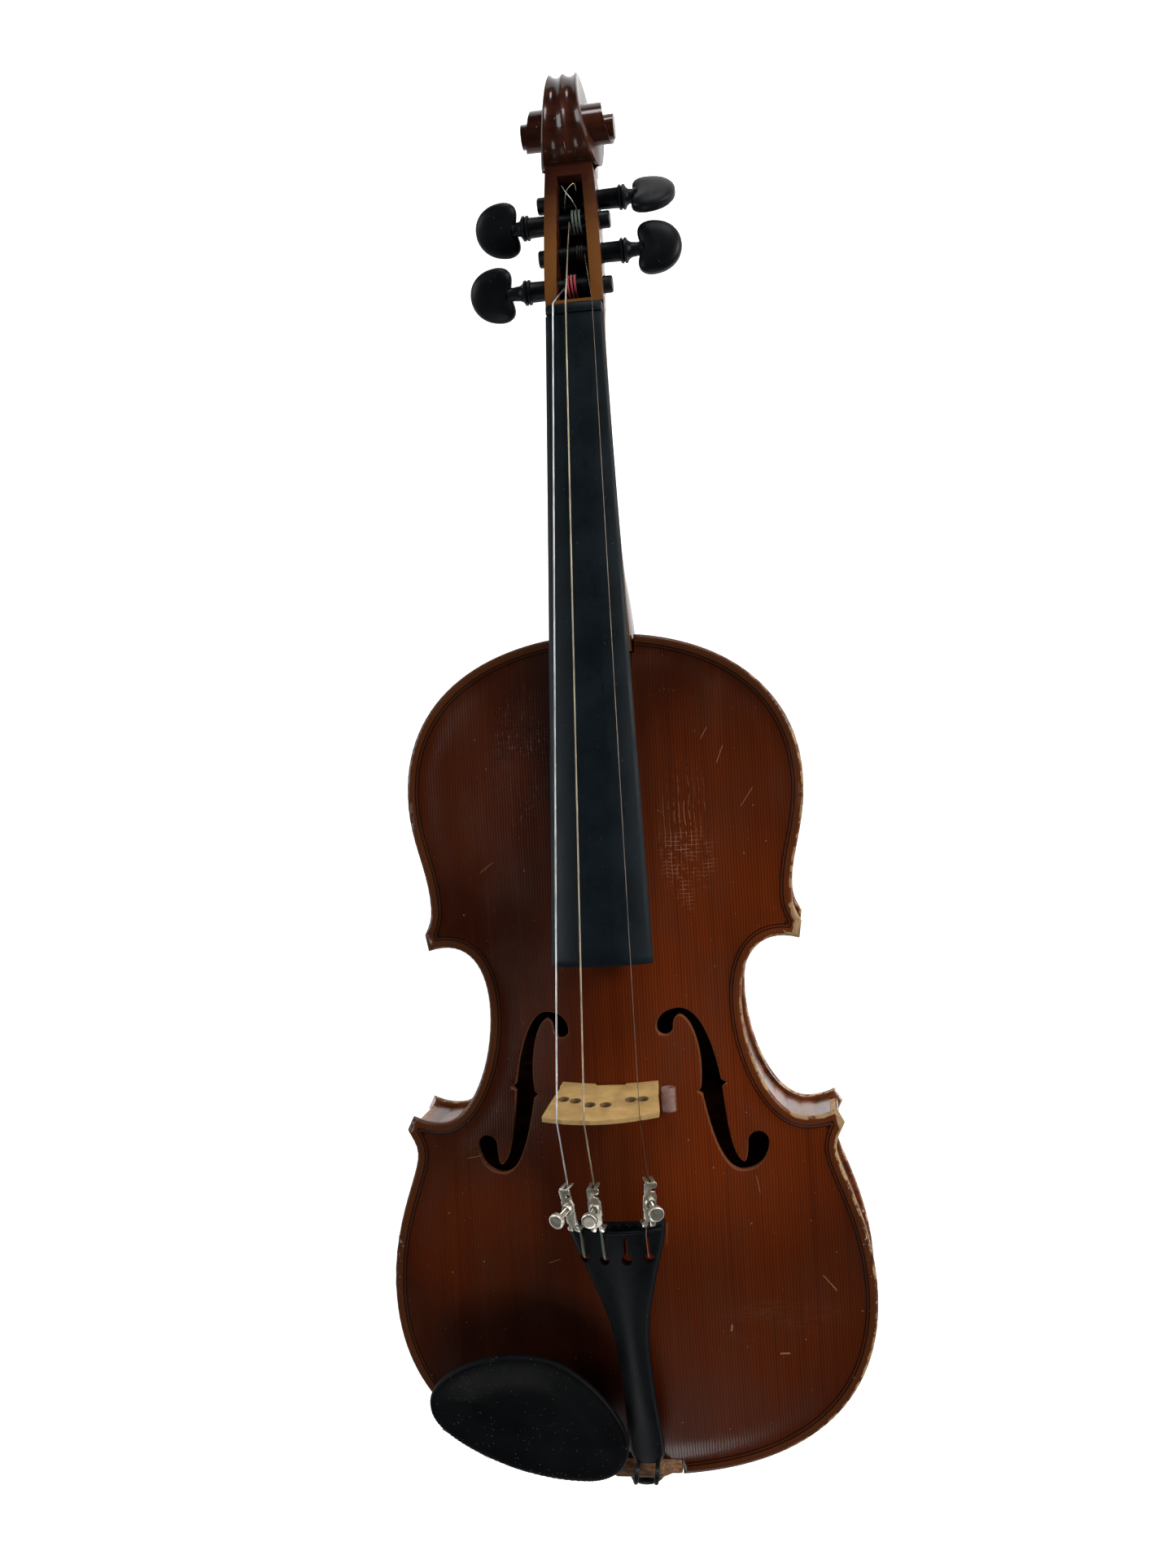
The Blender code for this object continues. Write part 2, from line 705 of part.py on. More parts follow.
def neck():
    obj = make("neck", neck_solid(), "maple")
    volute = make("volute", scroll_solid(20), "maple", helper=True)
    boolean(obj, volute, "UNION")
    sections = []
    for y, half, low in PEGBOX:
        section = [(-half, y, 20), (half, y, 20), (half * 0.9, y, low), (-half * 0.9, y, low)]
        sections.append(np.array(section))
    cavity = make("pegbox_cavity", loft([s[::-1] for s in sections]), "maple", helper=True)
    boolean(obj, cavity, "DIFFERENCE")
    bores = []
    for y, z, side in PEGS.values():
        bores.append(turned([(3.95, -20.0), (4.65, 20.0)], 20, (0, y, z), "x", MIRROR[side]))
    holes = make("peg_holes", joined(*map(outward, bores)), "maple", helper=True)
    boolean(obj, holes, "DIFFERENCE")


MIRROR = {1: np.eye(3), -1: np.diag([-1.0, 1.0, 1.0])}


def fingerboard():
    start = BOARD_END - BOARD_LENGTH
    sections = []
    for y in (start, start + 3, 260, 300, 346, 352, 420, BOARD_END):
        half = board_half_width(y)
        edge = board_edge(y)
        sagitta = sqrt(BOARD_RADIUS**2 - half**2)
        xs = np.linspace(half, -half, 9)
        crown = edge - 0.6 + np.sqrt(BOARD_RADIUS**2 - xs**2) - sagitta
        crown[[0, -1]] = edge - 0.6
        deep = 4.2 if y < 348 else 5.0
        hollow = 3.4 if y < 348 else 0.0
        top = np.stack([xs, np.full(9, y), crown], axis=1)
        under = [
            (-half + 0.4, y, edge - deep), (-half * 0.5, y, edge - deep + hollow * 0.75),
            (0, y, edge - deep + hollow), (half * 0.5, y, edge - deep + hollow * 0.75),
            (half - 0.4, y, edge - deep),
        ]  # fmt: skip
        sections.append(np.vstack([top, under]))
    make("fingerboard", loft(sections), "ebony")


def nut():
    sections = []
    for ahead, rise in NUT_ROWS:
        y = BOARD_END + ahead
        xs = np.linspace(11.7, -11.7, 9)
        crown = board_edge(y) + np.sqrt(BOARD_RADIUS**2 - xs**2) - 40.6 + rise
        top = np.stack([xs, np.full(9, y), crown], axis=1)
        low = board_edge(y) - 5.0
        sections.append(np.vstack([top, [(-11.7, y, low), (11.7, y, low)]]))
    make("nut", loft(sections), "ebony")


# Pegs

PEG_PROFILE = [
    (3.2, -15.4), (3.55, -14.9), (4.22, 19.0), (4.3, 19.2), (5.1, 19.6), (5.2, 20.3),
    (4.4, 20.8), (5.2, 21.3), (5.1, 22.1), (4.0, 22.7),
]  # fmt: skip
PEG_HEADS = {"g": (24, 3.0), "e": (-6, 2.6), "d": (28, 0.0), "a": (-40, 0.8)}
THUMB = [
    ((25.2, 0), (25.0, 3.4), (23.6, 5.6), (24.4, 8.2), 2),
    ((24.4, 8.2), (25.2, 10.6), (28.2, 11.6), (31.4, 11.2), 2),
    ((31.4, 11.2), (38.6, 10.6), (42.6, 5.6), (42.6, 0), 4),
]


def thumb_piece(turn_degrees, reach):
    """The flattened head of a peg: a rounded plate, thicker in the middle."""
    half = chain(THUMB) + np.array([reach, 0.0])
    loop = np.vstack([half, (half[::-1] * np.array([1.0, -1.0]))[1:-1]])
    centre = np.array([33.0 + reach, 0.0])
    inner = centre + (loop - centre) * 0.72

    def face(sign):
        def surface(flat):
            rim = nearest(flat, np.vstack([loop, loop[:1]])) < 0.01
            thick = np.where(rim, 1.7, 3.5)
            return np.column_stack([flat, sign * thick])

        return surface

    points, faces = slab(loop[::-1], [], inner, face(-1), face(1))
    spin = Matrix.Rotation(radians(turn_degrees), 3, "X")
    return points @ np.array(spin).T, faces


def pegs():
    for name, (y, z, side) in PEGS.items():
        tilt, reach = PEG_HEADS[name]
        profile = PEG_PROFILE + [(3.0, 24.0 + 0.5 * reach), (3.4, 26.4 + reach)]
        shaft = turned(profile, 20, (0, y, z), "x", MIRROR[side])
        points, faces = thumb_piece(tilt, reach)
        head = (points @ MIRROR[side].T + np.array([0, y, z]), faces)
        peg = make(f"peg_{name}", shaft, "ebony", origin=(0, y, z))
        thumb = make(f"thumb_{name}", head, "ebony", origin=(0, y, z), helper=True)
        boolean(peg, thumb, "UNION")


# Bridge

BRIDGE_HOLES = [(-17.0, 14.2), (-11.9, 15.8), (-5.6, 19.6), (0.8, 19.9), (10.4, 15.6), (15.2, 15.2)]

def bridge_frame():
    """Across, along the leaning face and through it."""
    lean = atan2(BRIDGE_LEAN, BRIDGE_HEIGHT)
    up = np.array([0.0, -sin(lean), cos(lean)])
    return np.column_stack([(1.0, 0.0, 0.0), up, np.cross((1.0, 0.0, 0.0), up)])


def bridge_crown(x):
    """Height of the crown above the feet, higher on the bass side."""
    return 33.6 - 0.0098 * (x + 3.5) ** 2


def bridge_place(flat, side):
    thick = 4.4 - 2.6 * np.clip(flat[:, 1] / 32.0, 0, 1)
    local = np.column_stack([flat, -side * 0.5 * thick])
    foot_z = 11.2
    centre = (BRIDGE_FOOT[0], BRIDGE_FOOT[1], foot_z)
    return local @ bridge_frame().T + np.array(centre)


def bridge_foot(x):
    """The feet are cut to the belly's arch."""
    flat = np.column_stack([x + BRIDGE_FOOT[0], np.full(len(x), BRIDGE_FOOT[1])])
    return belly_top(flat)[:, 2] - 11.2 + 0.55


def bridge():
    foot_x = np.array([-19.9, -13.0, -5.6])
    left = np.column_stack([foot_x, bridge_foot(foot_x)])
    right_x = np.array([7.0, 13.0, 19.9])
    right = np.column_stack([right_x, bridge_foot(right_x)])
    right_side = [(20.1, 4.5), (20.8, 10.0), (22.2, 20.0), (22.6, 27.0)]
    crown_x = np.array([17.5, 11, 4, -3.5, -11, -17])
    crown = np.column_stack([crown_x, bridge_crown(crown_x)])
    left_side = [(-23.3, 29.6), (-22.3, 20.0), (-21.0, 10.0), (-20.1, 4.5)]
    arch_line = [(-5.2, 1.9), (6.6, 1.9)]
    loop = np.vstack([left, arch_line, right, right_side, crown, left_side])
    holes = []
    for centre in BRIDGE_HOLES:
        holes.append(arc(centre, 1.9, 0, 360, 8)[:-1])

    def front(flat):
        return bridge_place(flat, 1)

    def rear(flat):
        return bridge_place(flat, -1)

    make("bridge", slab(loop, holes, [], rear, front), "bridge_maple")


def crown_point(x):
    """The top of the bridge under a string, in design coordinates."""
    u = x - BRIDGE_FOOT[0]
    flat = np.array([(u, bridge_crown(u))])
    return 0.5 * (bridge_place(flat, -1) + bridge_place(flat, 1))[0]


# Tailpiece and what holds it

TAIL_HALF_WIDTH = [
    (11.4, 3.4), (12.6, 5.4), (15.5, 6.9), (20, 7.2), (45, 6.4), (60, 6.8), (72, 7.8),
    (93, 13.0), (112, 18.8), (118.6, 19.9),
]  # fmt: skip


def tail_axis(y):
    return -0.2 + (118.0 - y) * 0.05


def tail_z(y):
    return 14.0 + (y - 12.0) * 17.0 / 106.0


def tail_surface(height):
    def surface(flat):
        x, y = flat[:, 0], flat[:, 1]
        half = through(y, TAIL_HALF_WIDTH)
        across = np.clip(np.abs(x - tail_axis(y)) / half, 0, 1)
        crown = 3.4 * (1.0 - across**2) * ease(y, 20, 110) + 1.6 * (1.0 - across**2)
        z = tail_z(y) + (crown - 2.2 if height > 0 else 0.55 * crown - 5.6)
        return np.column_stack([flat, z])

    return surface


def tail_top(x, y):
    return float(tail_surface(1)(np.array([(x, y)]))[0, 2])


def keyhole(x):
    """A round hole with a narrow slot towards the bridge."""
    ring = arc((x, KEYHOLE_Y), 2.1, 115, 425, 8)
    slot = [(x + 0.7, KEYHOLE_Y + 9.0), (x - 0.7, KEYHOLE_Y + 9.0)]
    return np.vstack([ring, slot])


def tailpiece():
    ys = np.array([11.4, 12.6, 15.5, 20, 32, 45, 60, 72, 82, 93, 103, 112, 118.6])
    half = through(ys, TAIL_HALF_WIDTH)
    right = np.column_stack([tail_axis(ys) + half, ys])
    left = np.column_stack([tail_axis(ys) - half, ys])[::-1]
    top_x = np.linspace(1, -1, 7)[1:-1] * half[-1] + tail_axis(118.6)
    end = np.column_stack([top_x, np.full(5, 118.6)])
    loop = np.vstack([right, end, left])
    extra = []
    for y in (14, 24, 38, 52, 66, 78, 88, 96, 111, 115):
        wide = float(through(y, TAIL_HALF_WIDTH))
        extra += [(tail_axis(y) + s * wide, y) for s in (-0.62, -0.25, 0.25, 0.62)]
    holes = [keyhole(x) for x in KEYHOLES.values()]
    extra = clear_of(np.array(extra), holes, 1.0)
    solid = slab(loop, holes, extra, tail_surface(-1), tail_surface(1))
    obj = make("tailpiece", solid, "ebony")
    drill = [(1.35, -9.0), (1.35, 4.0)]
    bores = [turned(drill, 12, (tail_axis(14) + s, 16.0, 11.9), "y") for s in (-4, 4)]
    cutter = make("gut_holes", joined(*bores), "ebony", helper=True)
    boolean(obj, cutter, "DIFFERENCE")
    across = np.linspace(18.6, -18.6, 9)
    y = 115.6
    sections = []
    for x in across + tail_axis(y):
        z = tail_top(x, y) + 0.35
        section = [(x, y - 0.9, z), (x, y + 0.9, z), (x, y + 0.5, z + 1.2), (x, y - 0.5, z + 1.2)]
        sections.append(np.array(section))
    make("tailpiece_fret", loft(sections), "ebony")


END_BUTTON = [
    (3.9, 16.0), (3.9, 1.9), (6.9, 1.8), (7.1, 0.4), (5.0, -1.8), (4.6, -4.2), (6.6, -6.6),
    (7.6, -8.6), (6.4, -10.6), (3.0, -11.0),
]  # fmt: skip


def tail_fixings():
    across = (-17.6, -13.5, -9.5, 9.5, 13.5, 17.6)
    saddle = [(x, 1.4) for x in across] + [(x, 7.4) for x in across[::-1]]

    def crest(flat):
        corner = np.abs(flat[:, 1] - 4.4) > 2.8
        rise = 4.7 - 3.6 * ease(np.abs(flat[:, 0]), 9.5, 13.5) - 1.2 * corner
        return np.column_stack([flat, rise])

    ridge = [(x, y) for x in (-13.5, -9.5, 0, 9.5, 13.5) for y in (2.4, 6.2)]
    make("saddle", slab(saddle, [], ridge, level(-4.0), crest), "saddle_wood")
    make("end_button", turned(END_BUTTON, 20, (0, 0, -19.2), "y"), "ebony")
    tail_gut()


def tail_gut():
    """A loop from under the tailpiece, over the saddle and round the end button."""
    right = [
        (tail_axis(14) + 4.0, 19.5, 11.9), (tail_axis(14) + 4.0, 12.4, 11.9),
        (8.7, 10.4, 11.4), (8.2, 7.2, 8.2), (7.8, 4.6, 6.6), (7.3, 1.9, 6.0),
        (6.8, -0.4, 4.3), (6.3, -1.35, 1.0),
        (6.0, -1.7, -6.0), (5.9, -2.6, -13.0), (5.85, -3.2, -19.2),
    ]
    turn = np.linspace(0, -pi, 9)[1:-1]
    around = [(5.85 * cos(a), -3.2, -19.2 + 5.85 * sin(a)) for a in turn]
    left = [
        (-5.85, -3.2, -19.2), (-5.7, -2.6, -13.0), (-4.6, -1.7, -6.0), (-2.6, -1.35, 1.0),
        (-1.8, -0.4, 4.3), (-1.3, 1.9, 6.0), (-0.9, 4.6, 6.6), (-0.2, 7.2, 8.2),
        (0.6, 10.4, 11.4), (tail_axis(14) - 4.0, 12.4, 11.9), (tail_axis(14) - 4.0, 19.5, 11.9),
    ]
    path = smooth_path(right + around + left, 46)
    make("tailgut", tube(path, 0.95, 7), "black_plastic")


def smooth_path(points, count):
    """Points spread along a smooth curve through a short list of points."""
    points = np.array(points, float)
    reach = np.concatenate([[0], np.cumsum(np.linalg.norm(np.diff(points, axis=0), axis=1))])
    at = np.linspace(0, reach[-1], count)
    return np.column_stack([through_line(at, reach, points[:, i]) for i in range(3)])


def through_line(at, xs, ys):
    """A Catmull-Rom curve through (xs, ys)."""
    tangent = np.gradient(ys, xs)
    i = np.clip(np.searchsorted(xs, at, side="right") - 1, 0, len(xs) - 2)
    width = xs[i + 1] - xs[i]
    t = (at - xs[i]) / width
    first = ys[i] * (1 + 2 * t) * (1 - t) ** 2 + tangent[i] * width * t * (1 - t) ** 2
    return first + ys[i + 1] * t * t * (3 - 2 * t) - tangent[i + 1] * width * t * t * (1 - t)


# Strings and fine tuners


def string_line(name, y):
    """A string's height between the bridge and the tailpiece fret."""
    _, _, bridge_x, hook_x, _ = STRINGS[name]
    top = crown_point(bridge_x) + np.array([0, 0, 0.8])
    end = np.array([KEYHOLES[name], 113.0, tail_top(KEYHOLES[name], 113.0) + 2.6])
    hook_y = TUNER_Y[name] + 9.2
    hook = top + (top[1] - hook_y) / (top[1] - end[1]) * (end - top)
    hook[0] = hook_x
    if y > hook_y:
        return top + (top[1] - y) / (top[1] - hook_y) * (hook - top)
    return hook + (hook_y - y) / (hook_y - end[1]) * (end - hook)


def coil(name, radius):
    """Turns of a string round its peg, ending on top of the peg."""
    y, z, side = PEGS[name]
    nut_x = STRINGS[name][1]
    turns = 3.5
    reach = 4.15 + radius + 0.35
    pitch = 2.0 * radius + 0.7
    angles = np.linspace(-2 * pi * turns, 0, round(turns * 12) + 1) + 0.42 * pi
    rows = []
    for angle in angles:
        x = nut_x * 0.55 + side * pitch * (angle - angles[-1]) / (2 * pi)
        rows.append((x, y - reach * cos(angle), z + reach * sin(angle)))
    return rows


def strings():
    for name, (radius, nut_x, bridge_x, _, _) in STRINGS.items():
        wound = coil(name, radius)
        nut_top = board_edge(NUT_Y - 2.5) + sqrt(BOARD_RADIUS**2 - nut_x**2) - 40.6 + 0.95
        run = [
            (nut_x, NUT_Y - 0.4, nut_top + radius + 0.15),
            (nut_x, NUT_Y - 2.5, nut_top + radius + 0.3),
        ]
        crown = crown_point(bridge_x) + np.array([0, 0.0, radius + 0.45])
        nut_end = np.array(run[-1])
        for t in (0.02, 0.5, 0.98):
            run.append(tuple(nut_end + t * (crown - nut_end)))
        run.append(tuple(crown))
        hook_y = TUNER_Y[name] + 9.2
        for y in (crown[1] - 3.0, 150.0, hook_y + 1.0, hook_y - 1.0, 125.5, 119.0):
            run.append(tuple(string_line(name, y)))
        hole_x = KEYHOLES[name]
        top = tail_top(hole_x, 112.0)
        run += [
            (hole_x, 114.5, top + 2.5), (hole_x, 110.0, top + 1.2), (hole_x, 106.0, top - 0.6),
            (hole_x, KEYHOLE_Y + 0.2, top - 3.0), (hole_x, KEYHOLE_Y - 0.1, top - 5.0),
        ]  # fmt: skip
        path = np.array(wound + run)
        make(f"string_{name}", tube(path, radius, 6), "wound_string")
        tuner(name)


def tuner_frame(name):
    """Across the tuner, towards the bridge and out of its face."""
    roll = radians(STRINGS[name][4])
    ahead = string_line(name, 134.0) - string_line(name, 119.0)
    ahead /= np.linalg.norm(ahead)
    out = np.array([sin(roll), 0.0, cos(roll)])
    across = np.cross(ahead, out)
    across /= np.linalg.norm(across)
    return np.column_stack([across, ahead, np.cross(across, ahead)])


def tuner(name):
    """A string adjuster: a slotted plate held on the string, with a screw and a shoe."""
    frame = tuner_frame(name)
    centre = string_line(name, TUNER_Y[name])
    plate = [
        (-2.7, -8.6), (2.7, -8.6), (2.7, 5.4), (2.2, 7.2), (2.2, 9.6), (-2.2, 9.6), (-2.7, 8.4),
    ]  # fmt: skip
    hole = arc((0, TUNER_HOLE), 1.5, 0, 360, 10)[:-1]
    profile = slab(plate, [hole], [], level(2.6), level(3.5))
    claws = joined(
        box((-2.5, -9.2, -1.6), (-0.75, -7.9, 3.1)),
        box((0.75, -9.2, -1.6), (2.5, -7.9, 3.1)),
        box((-2.0, 8.6, -1.6), (-0.75, 9.9, 3.1)),
        box((0.75, 8.6, -1.6), (2.0, 9.9, 3.1)),
    )
    body = make(f"tuner_{name}_frame", moved(profile, frame, centre), "nickel")
    hooks = make(f"claws_{name}", moved(claws, frame, centre), "nickel", helper=True)
    boolean(body, hooks, "UNION")
    collar = ring_solid(1.5, 2.3, 3.2, 5.0, 12, (0, TUNER_HOLE))
    bush = make(f"bush_{name}", moved(collar, frame, centre), "nickel", helper=True)
    boolean(body, bush, "UNION")
    seat = tuple(centre + frame @ np.array([0, TUNER_HOLE, 0]))
    screw = turned([(0.6, 1.7), (1.05, 2.0), (1.05, 10.1), (0.7, 10.3)], 10, (0, TUNER_HOLE, 0))
    make(f"tuner_{name}_screw", moved(screw, frame, centre), "nickel", origin=seat)
    shoe = turned([(1.6, 0.75), (1.6, 1.45)], 12, (0, TUNER_HOLE, 0))
    make(f"tuner_{name}_shoe", moved(shoe, frame, centre), "nickel", origin=seat)
    knob_rows = [(1.2, 10.6), (2.9, 10.8), (3.1, 11.2), (3.1, 12.9), (2.8, 13.3)]
    knob = turned(knob_rows, 18, (0, TUNER_HOLE, 0))
    make(f"tuner_{name}_knob", moved(knob, frame, centre), "nickel", origin=seat)


def ring_solid(inner, outer, low, high, sides, centre):
    rows = [(inner, low), (outer, low), (outer, high), (inner, high)]
    angles = np.linspace(0, 2 * pi, sides, endpoint=False)
    rings = []
    for angle in angles:
        rings.append(
            np.array([(centre[0] + r * cos(angle), centre[1] + r * sin(angle), z) for r, z in rows])
        )
    return loft(rings, closed=True)


# Chin rest

REST = [
    ((-84.5, 39), (-84, 48), (-72, 55), (-60, 58), 5),
    ((-60, 58), (-46, 61), (-33, 59.5), (-26, 55.5), 4),
    ((-26, 55.5), (-12, 47.5), (-1.4, 33), (-1.4, 23.6), 5),
    ((-1.4, 23.6), (-1.4, 13), (-9, 7.8), (-20, 7.8), 4),
    ((-20, 7.8), (-42, 7.4), (-65, 16.6), (-76.5, 25.4), 5),
    ((-76.5, 25.4), (-82, 29.6), (-84.8, 33.5), (-84.5, 39), 2),
]
REST_CORK = [
    (-78, 38), (-73, 33), (-48, 22.5), (-34, 17.5), (-14, 14.5), (-12, 20.5), (-34, 26),
    (-50, 31), (-66, 38), (-73, 43),
]  # fmt: skip
CLAMP_AT = (-71.4, 17.5)
CLAMP_TURN = -32.3
CLAMP_REACH = 1.9
ROD_SPREAD = 10.0


def rest_loop(detail=1.0):
    return chain(REST, detail)[:-1]


def rest_surface(kind):
    line = np.vstack([rest_loop(), rest_loop()[:1]])

    def surface(flat):
        depth = nearest(flat, line)
        rise = 0.045 * (flat[:, 0] + 84.0)
        if kind > 0:
            z = 19.5 + rise * 0.6 - 4.6 * ease(depth, 1.0, 17.0) - 1.2 * (depth < 0.05)
        else:
            z = 15.6 + rise * 0.6 - 4.4 * ease(depth, 1.0, 17.0)
        return np.column_stack([flat, z])

    return surface


def chin_rest():
    loop = rest_loop()
    line = np.vstack([loop, loop[:1]])
    centre = np.array([-42.0, 33.0])
    rings = [centre + (loop - centre) * s for s in (0.955, 0.8, 0.6, 0.35)]
    extra = np.vstack(rings + [[centre]])
    extra = extra[nearest(extra, line) > 0.6]
    solid = slab(loop[::-1], [], extra, rest_surface(-1), rest_surface(1))
    make("chin_rest", solid, "black_plastic")
    turn = radians(CLAMP_TURN)
    frame = np.array([[cos(turn), -sin(turn), 0], [sin(turn), cos(turn), 0], [0, 0, 1.0]])
    centre = (CLAMP_AT[0], CLAMP_AT[1], 0.0)
    clamp(frame, centre)


def clamp(frame, centre):
    """The screw clamp that holds the chin rest to the edge of the body."""
    out = -CLAMP_REACH
    wide = ROD_SPREAD + 2.4
    bar_shape = [(-wide, out - 1.5), (wide, out - 1.5), (wide, 10.0), (-wide, 10.0)]
    pad_shape = [(-wide, 1.6), (wide, 1.6), (wide, 10.0), (-wide, 10.0)]
    foot = make("clamp_lower", moved(prism(bar_shape, -44.0, -42.4), frame, centre), "nickel")
    bar = make("clamp_upper", moved(prism(bar_shape, 4.2, 5.4), frame, centre), "nickel")
    post = box((-wide + 2.0, 7.0, 4.8), (wide - 2.0, 9.0, 11.6))
    riser = make("clamp_riser", moved(post, frame, centre), "nickel", helper=True)
    boolean(bar, riser, "UNION")
    for i, x in enumerate((-ROD_SPREAD, ROD_SPREAD)):
        low = turned([(1.3, -43.4), (1.3, -22.0)], 10, (x, out, 0))
        high = turned([(1.3, -14.0), (1.3, 5.0)], 10, (x, out, 0))
        low_rod = make(f"rod_low_{i}", moved(low, frame, centre), "nickel", helper=True)
        high_rod = make(f"rod_high_{i}", moved(high, frame, centre), "nickel", helper=True)
        boolean(foot, low_rod, "UNION")
        boolean(bar, high_rod, "UNION")
        seat = tuple(np.array(centre) + frame @ np.array([x, out, 0.0]))
        barrel = ring_solid(1.7, 2.9, -31.0, -7.0, 14, (x, out))
        make(f"clamp_barrel_{i + 1}", moved(barrel, frame, centre), "nickel", origin=seat)
    make("clamp_cork", moved(prism(pad_shape, -42.1, -39.2), frame, centre), "cork")

    def rest_under(flat):
        surface = rest_surface(-1)(flat)
        surface[:, 2] -= 1.0
        return surface

    def belly_over(flat):
        surface = belly_top(flat)
        surface[:, 2] += 0.6
        return surface

    extra = [(-62, 33), (-48, 27), (-30, 21)]
    make("chin_rest_cork", slab(REST_CORK, [], extra, belly_over, rest_under), "cork")


def sleeve():
    """A short clear tube that lies on the belly beside the treble foot."""
    rest = float(belly_top(np.array([(21.4, 163.0)]))[0, 2])
    pipe = ring_solid(2.3, 2.95, -4.8, 4.8, 16, (0, 0))
    points, faces = pipe
    points = points[:, [1, 2, 0]] + np.array([22.2, 163.0, rest + 3.9])
    make("string_sleeve", (points, faces), "clear_plastic")


def main():
    clear_scene()
    plates()
    ribs()
    bar_and_post()
    neck()
    fingerboard()
    nut()
    pegs()
    bridge()
    tailpiece()
    tail_fixings()
    strings()
    chin_rest()
    sleeve()


main()
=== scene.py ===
"""Looks of the violin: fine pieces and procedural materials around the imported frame.

Lengths are in millimetres in the maker's frame: x towards the treble side, y
from the lower edge of the body towards the scroll, z up from the edge of the
belly. world() turns a point into metres in the frame's own coordinates.
"""

import json
from math import atan2, cos, pi, radians, sin, sqrt

import bpy
import numpy as np
from mathutils import Matrix, Vector
from mathutils.geometry import delaunay_2d_cdt

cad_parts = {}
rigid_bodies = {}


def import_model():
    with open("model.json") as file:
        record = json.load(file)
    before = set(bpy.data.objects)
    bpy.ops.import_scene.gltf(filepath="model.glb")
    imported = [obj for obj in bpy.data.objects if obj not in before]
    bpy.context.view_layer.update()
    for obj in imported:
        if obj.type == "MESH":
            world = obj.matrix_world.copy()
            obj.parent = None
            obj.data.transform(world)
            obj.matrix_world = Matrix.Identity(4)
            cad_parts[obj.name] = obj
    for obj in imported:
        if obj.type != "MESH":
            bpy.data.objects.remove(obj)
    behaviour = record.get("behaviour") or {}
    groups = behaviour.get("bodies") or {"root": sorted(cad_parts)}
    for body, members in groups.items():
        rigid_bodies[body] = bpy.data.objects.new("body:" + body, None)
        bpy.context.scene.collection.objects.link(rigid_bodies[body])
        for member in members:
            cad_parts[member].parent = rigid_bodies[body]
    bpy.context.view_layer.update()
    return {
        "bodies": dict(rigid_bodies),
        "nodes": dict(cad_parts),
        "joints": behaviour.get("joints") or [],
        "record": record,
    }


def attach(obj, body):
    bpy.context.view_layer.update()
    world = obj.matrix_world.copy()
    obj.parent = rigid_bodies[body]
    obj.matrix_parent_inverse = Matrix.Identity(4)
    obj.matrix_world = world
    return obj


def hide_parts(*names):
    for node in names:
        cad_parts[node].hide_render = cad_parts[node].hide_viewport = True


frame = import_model()

MM = 0.001
BODY_LENGTH = 354.3
SCROLL_TOP = 590.4
BUTTON_REACH = 11.0
BACK_PLANE = -34.5
EDGE = 4.0
BELLY_ARCH = 11.5
BACK_ARCH = 11.0
NUT_Y = 491.3
BOARD_END = 486.7
BOARD_LENGTH = 266.2
BOARD_SLOPE = 0.1018
NUT_EDGE_Z = -3.3
BOARD_RADIUS = 42.0
BRIDGE_FOOT = (-1.8, 167.7)
BRIDGE_LEAN = 5.1
BRIDGE_HEIGHT = 33.0
EYE = (567.0, -18.3)
PEGS = {"g": (501.2, -16.0, -1), "e": (515.1, -18.0, 1), "d": (529.7, -20.3, -1),
    "a": (538.8, -22.0, 1)}
STRINGS = {"g": (0.42, -8.2, -18.6, -16.9, -23.0), "d": (0.4, -2.7, -7.6, -6.0, -6.0),
    "e": (0.17, 8.2, 13.7, 15.1, 22.0)}
KEYHOLES = {"g": -13.6, "d": -5.0, "a": 3.8, "e": 12.4}
KEYHOLE_Y = 103.5
TUNER_Y = {"g": 127.0, "d": 127.6, "e": 129.0}
TUNER_HOLE = 1.2
Y_MIDDLE = 0.5 * (SCROLL_TOP - BUTTON_REACH)
Z_LOW = -BACK_PLANE + EDGE + BACK_ARCH


def world(point):
    return Vector((point[0], point[1] - Y_MIDDLE, point[2] + Z_LOW)) * MM


def ease(value, low, high):
    """0 below low, 1 above high and a smooth step between."""
    t = np.clip((np.asarray(value, float) - low) / (high - low), 0.0, 1.0)
    return t * t * (3.0 - 2.0 * t)


def through(value, knots):
    """Smooth curve through (position, value) knots, flat at its turning points."""
    xs = np.array([knot[0] for knot in knots], float)
    ys = np.array([knot[1] for knot in knots], float)
    slope = np.diff(ys) / np.diff(xs)
    same = slope[:-1] * slope[1:] > 0
    total = np.where(same, slope[:-1] + slope[1:], 1.0)
    inner = np.where(same, 2.0 * slope[:-1] * slope[1:] / total, 0.0)
    tangent = np.concatenate([[slope[0]], inner, [slope[-1]]])
    at = np.clip(np.asarray(value, float), xs[0], xs[-1])
    i = np.clip(np.searchsorted(xs, at) - 1, 0, len(xs) - 2)
    width = xs[i + 1] - xs[i]
    t = (at - xs[i]) / width
    first = ys[i] * (1 + 2 * t) * (1 - t) ** 2 + tangent[i] * width * t * (1 - t) ** 2
    last = ys[i + 1] * t * t * (3 - 2 * t) - tangent[i + 1] * width * t * t * (1 - t)
    return first + last


def bezier(start, pull, push, end, count):
    t = np.linspace(0.0, 1.0, count + 1)[:, None]
    p0, p1, p2, p3 = (np.array(point, float) for point in (start, pull, push, end))
    near = (1 - t) ** 3 * p0 + 3 * (1 - t) ** 2 * t * p1
    return near + 3 * (1 - t) * t * t * p2 + t**3 * p3


def chain(segments, detail=1.0):
    """One polyline from Bezier segments that share their end points."""
    parts = []
    for *corners, count in segments:
        curve = bezier(*corners, max(1, round(count * detail)))
        parts.append(curve if not parts else curve[1:])
    return np.vstack(parts)


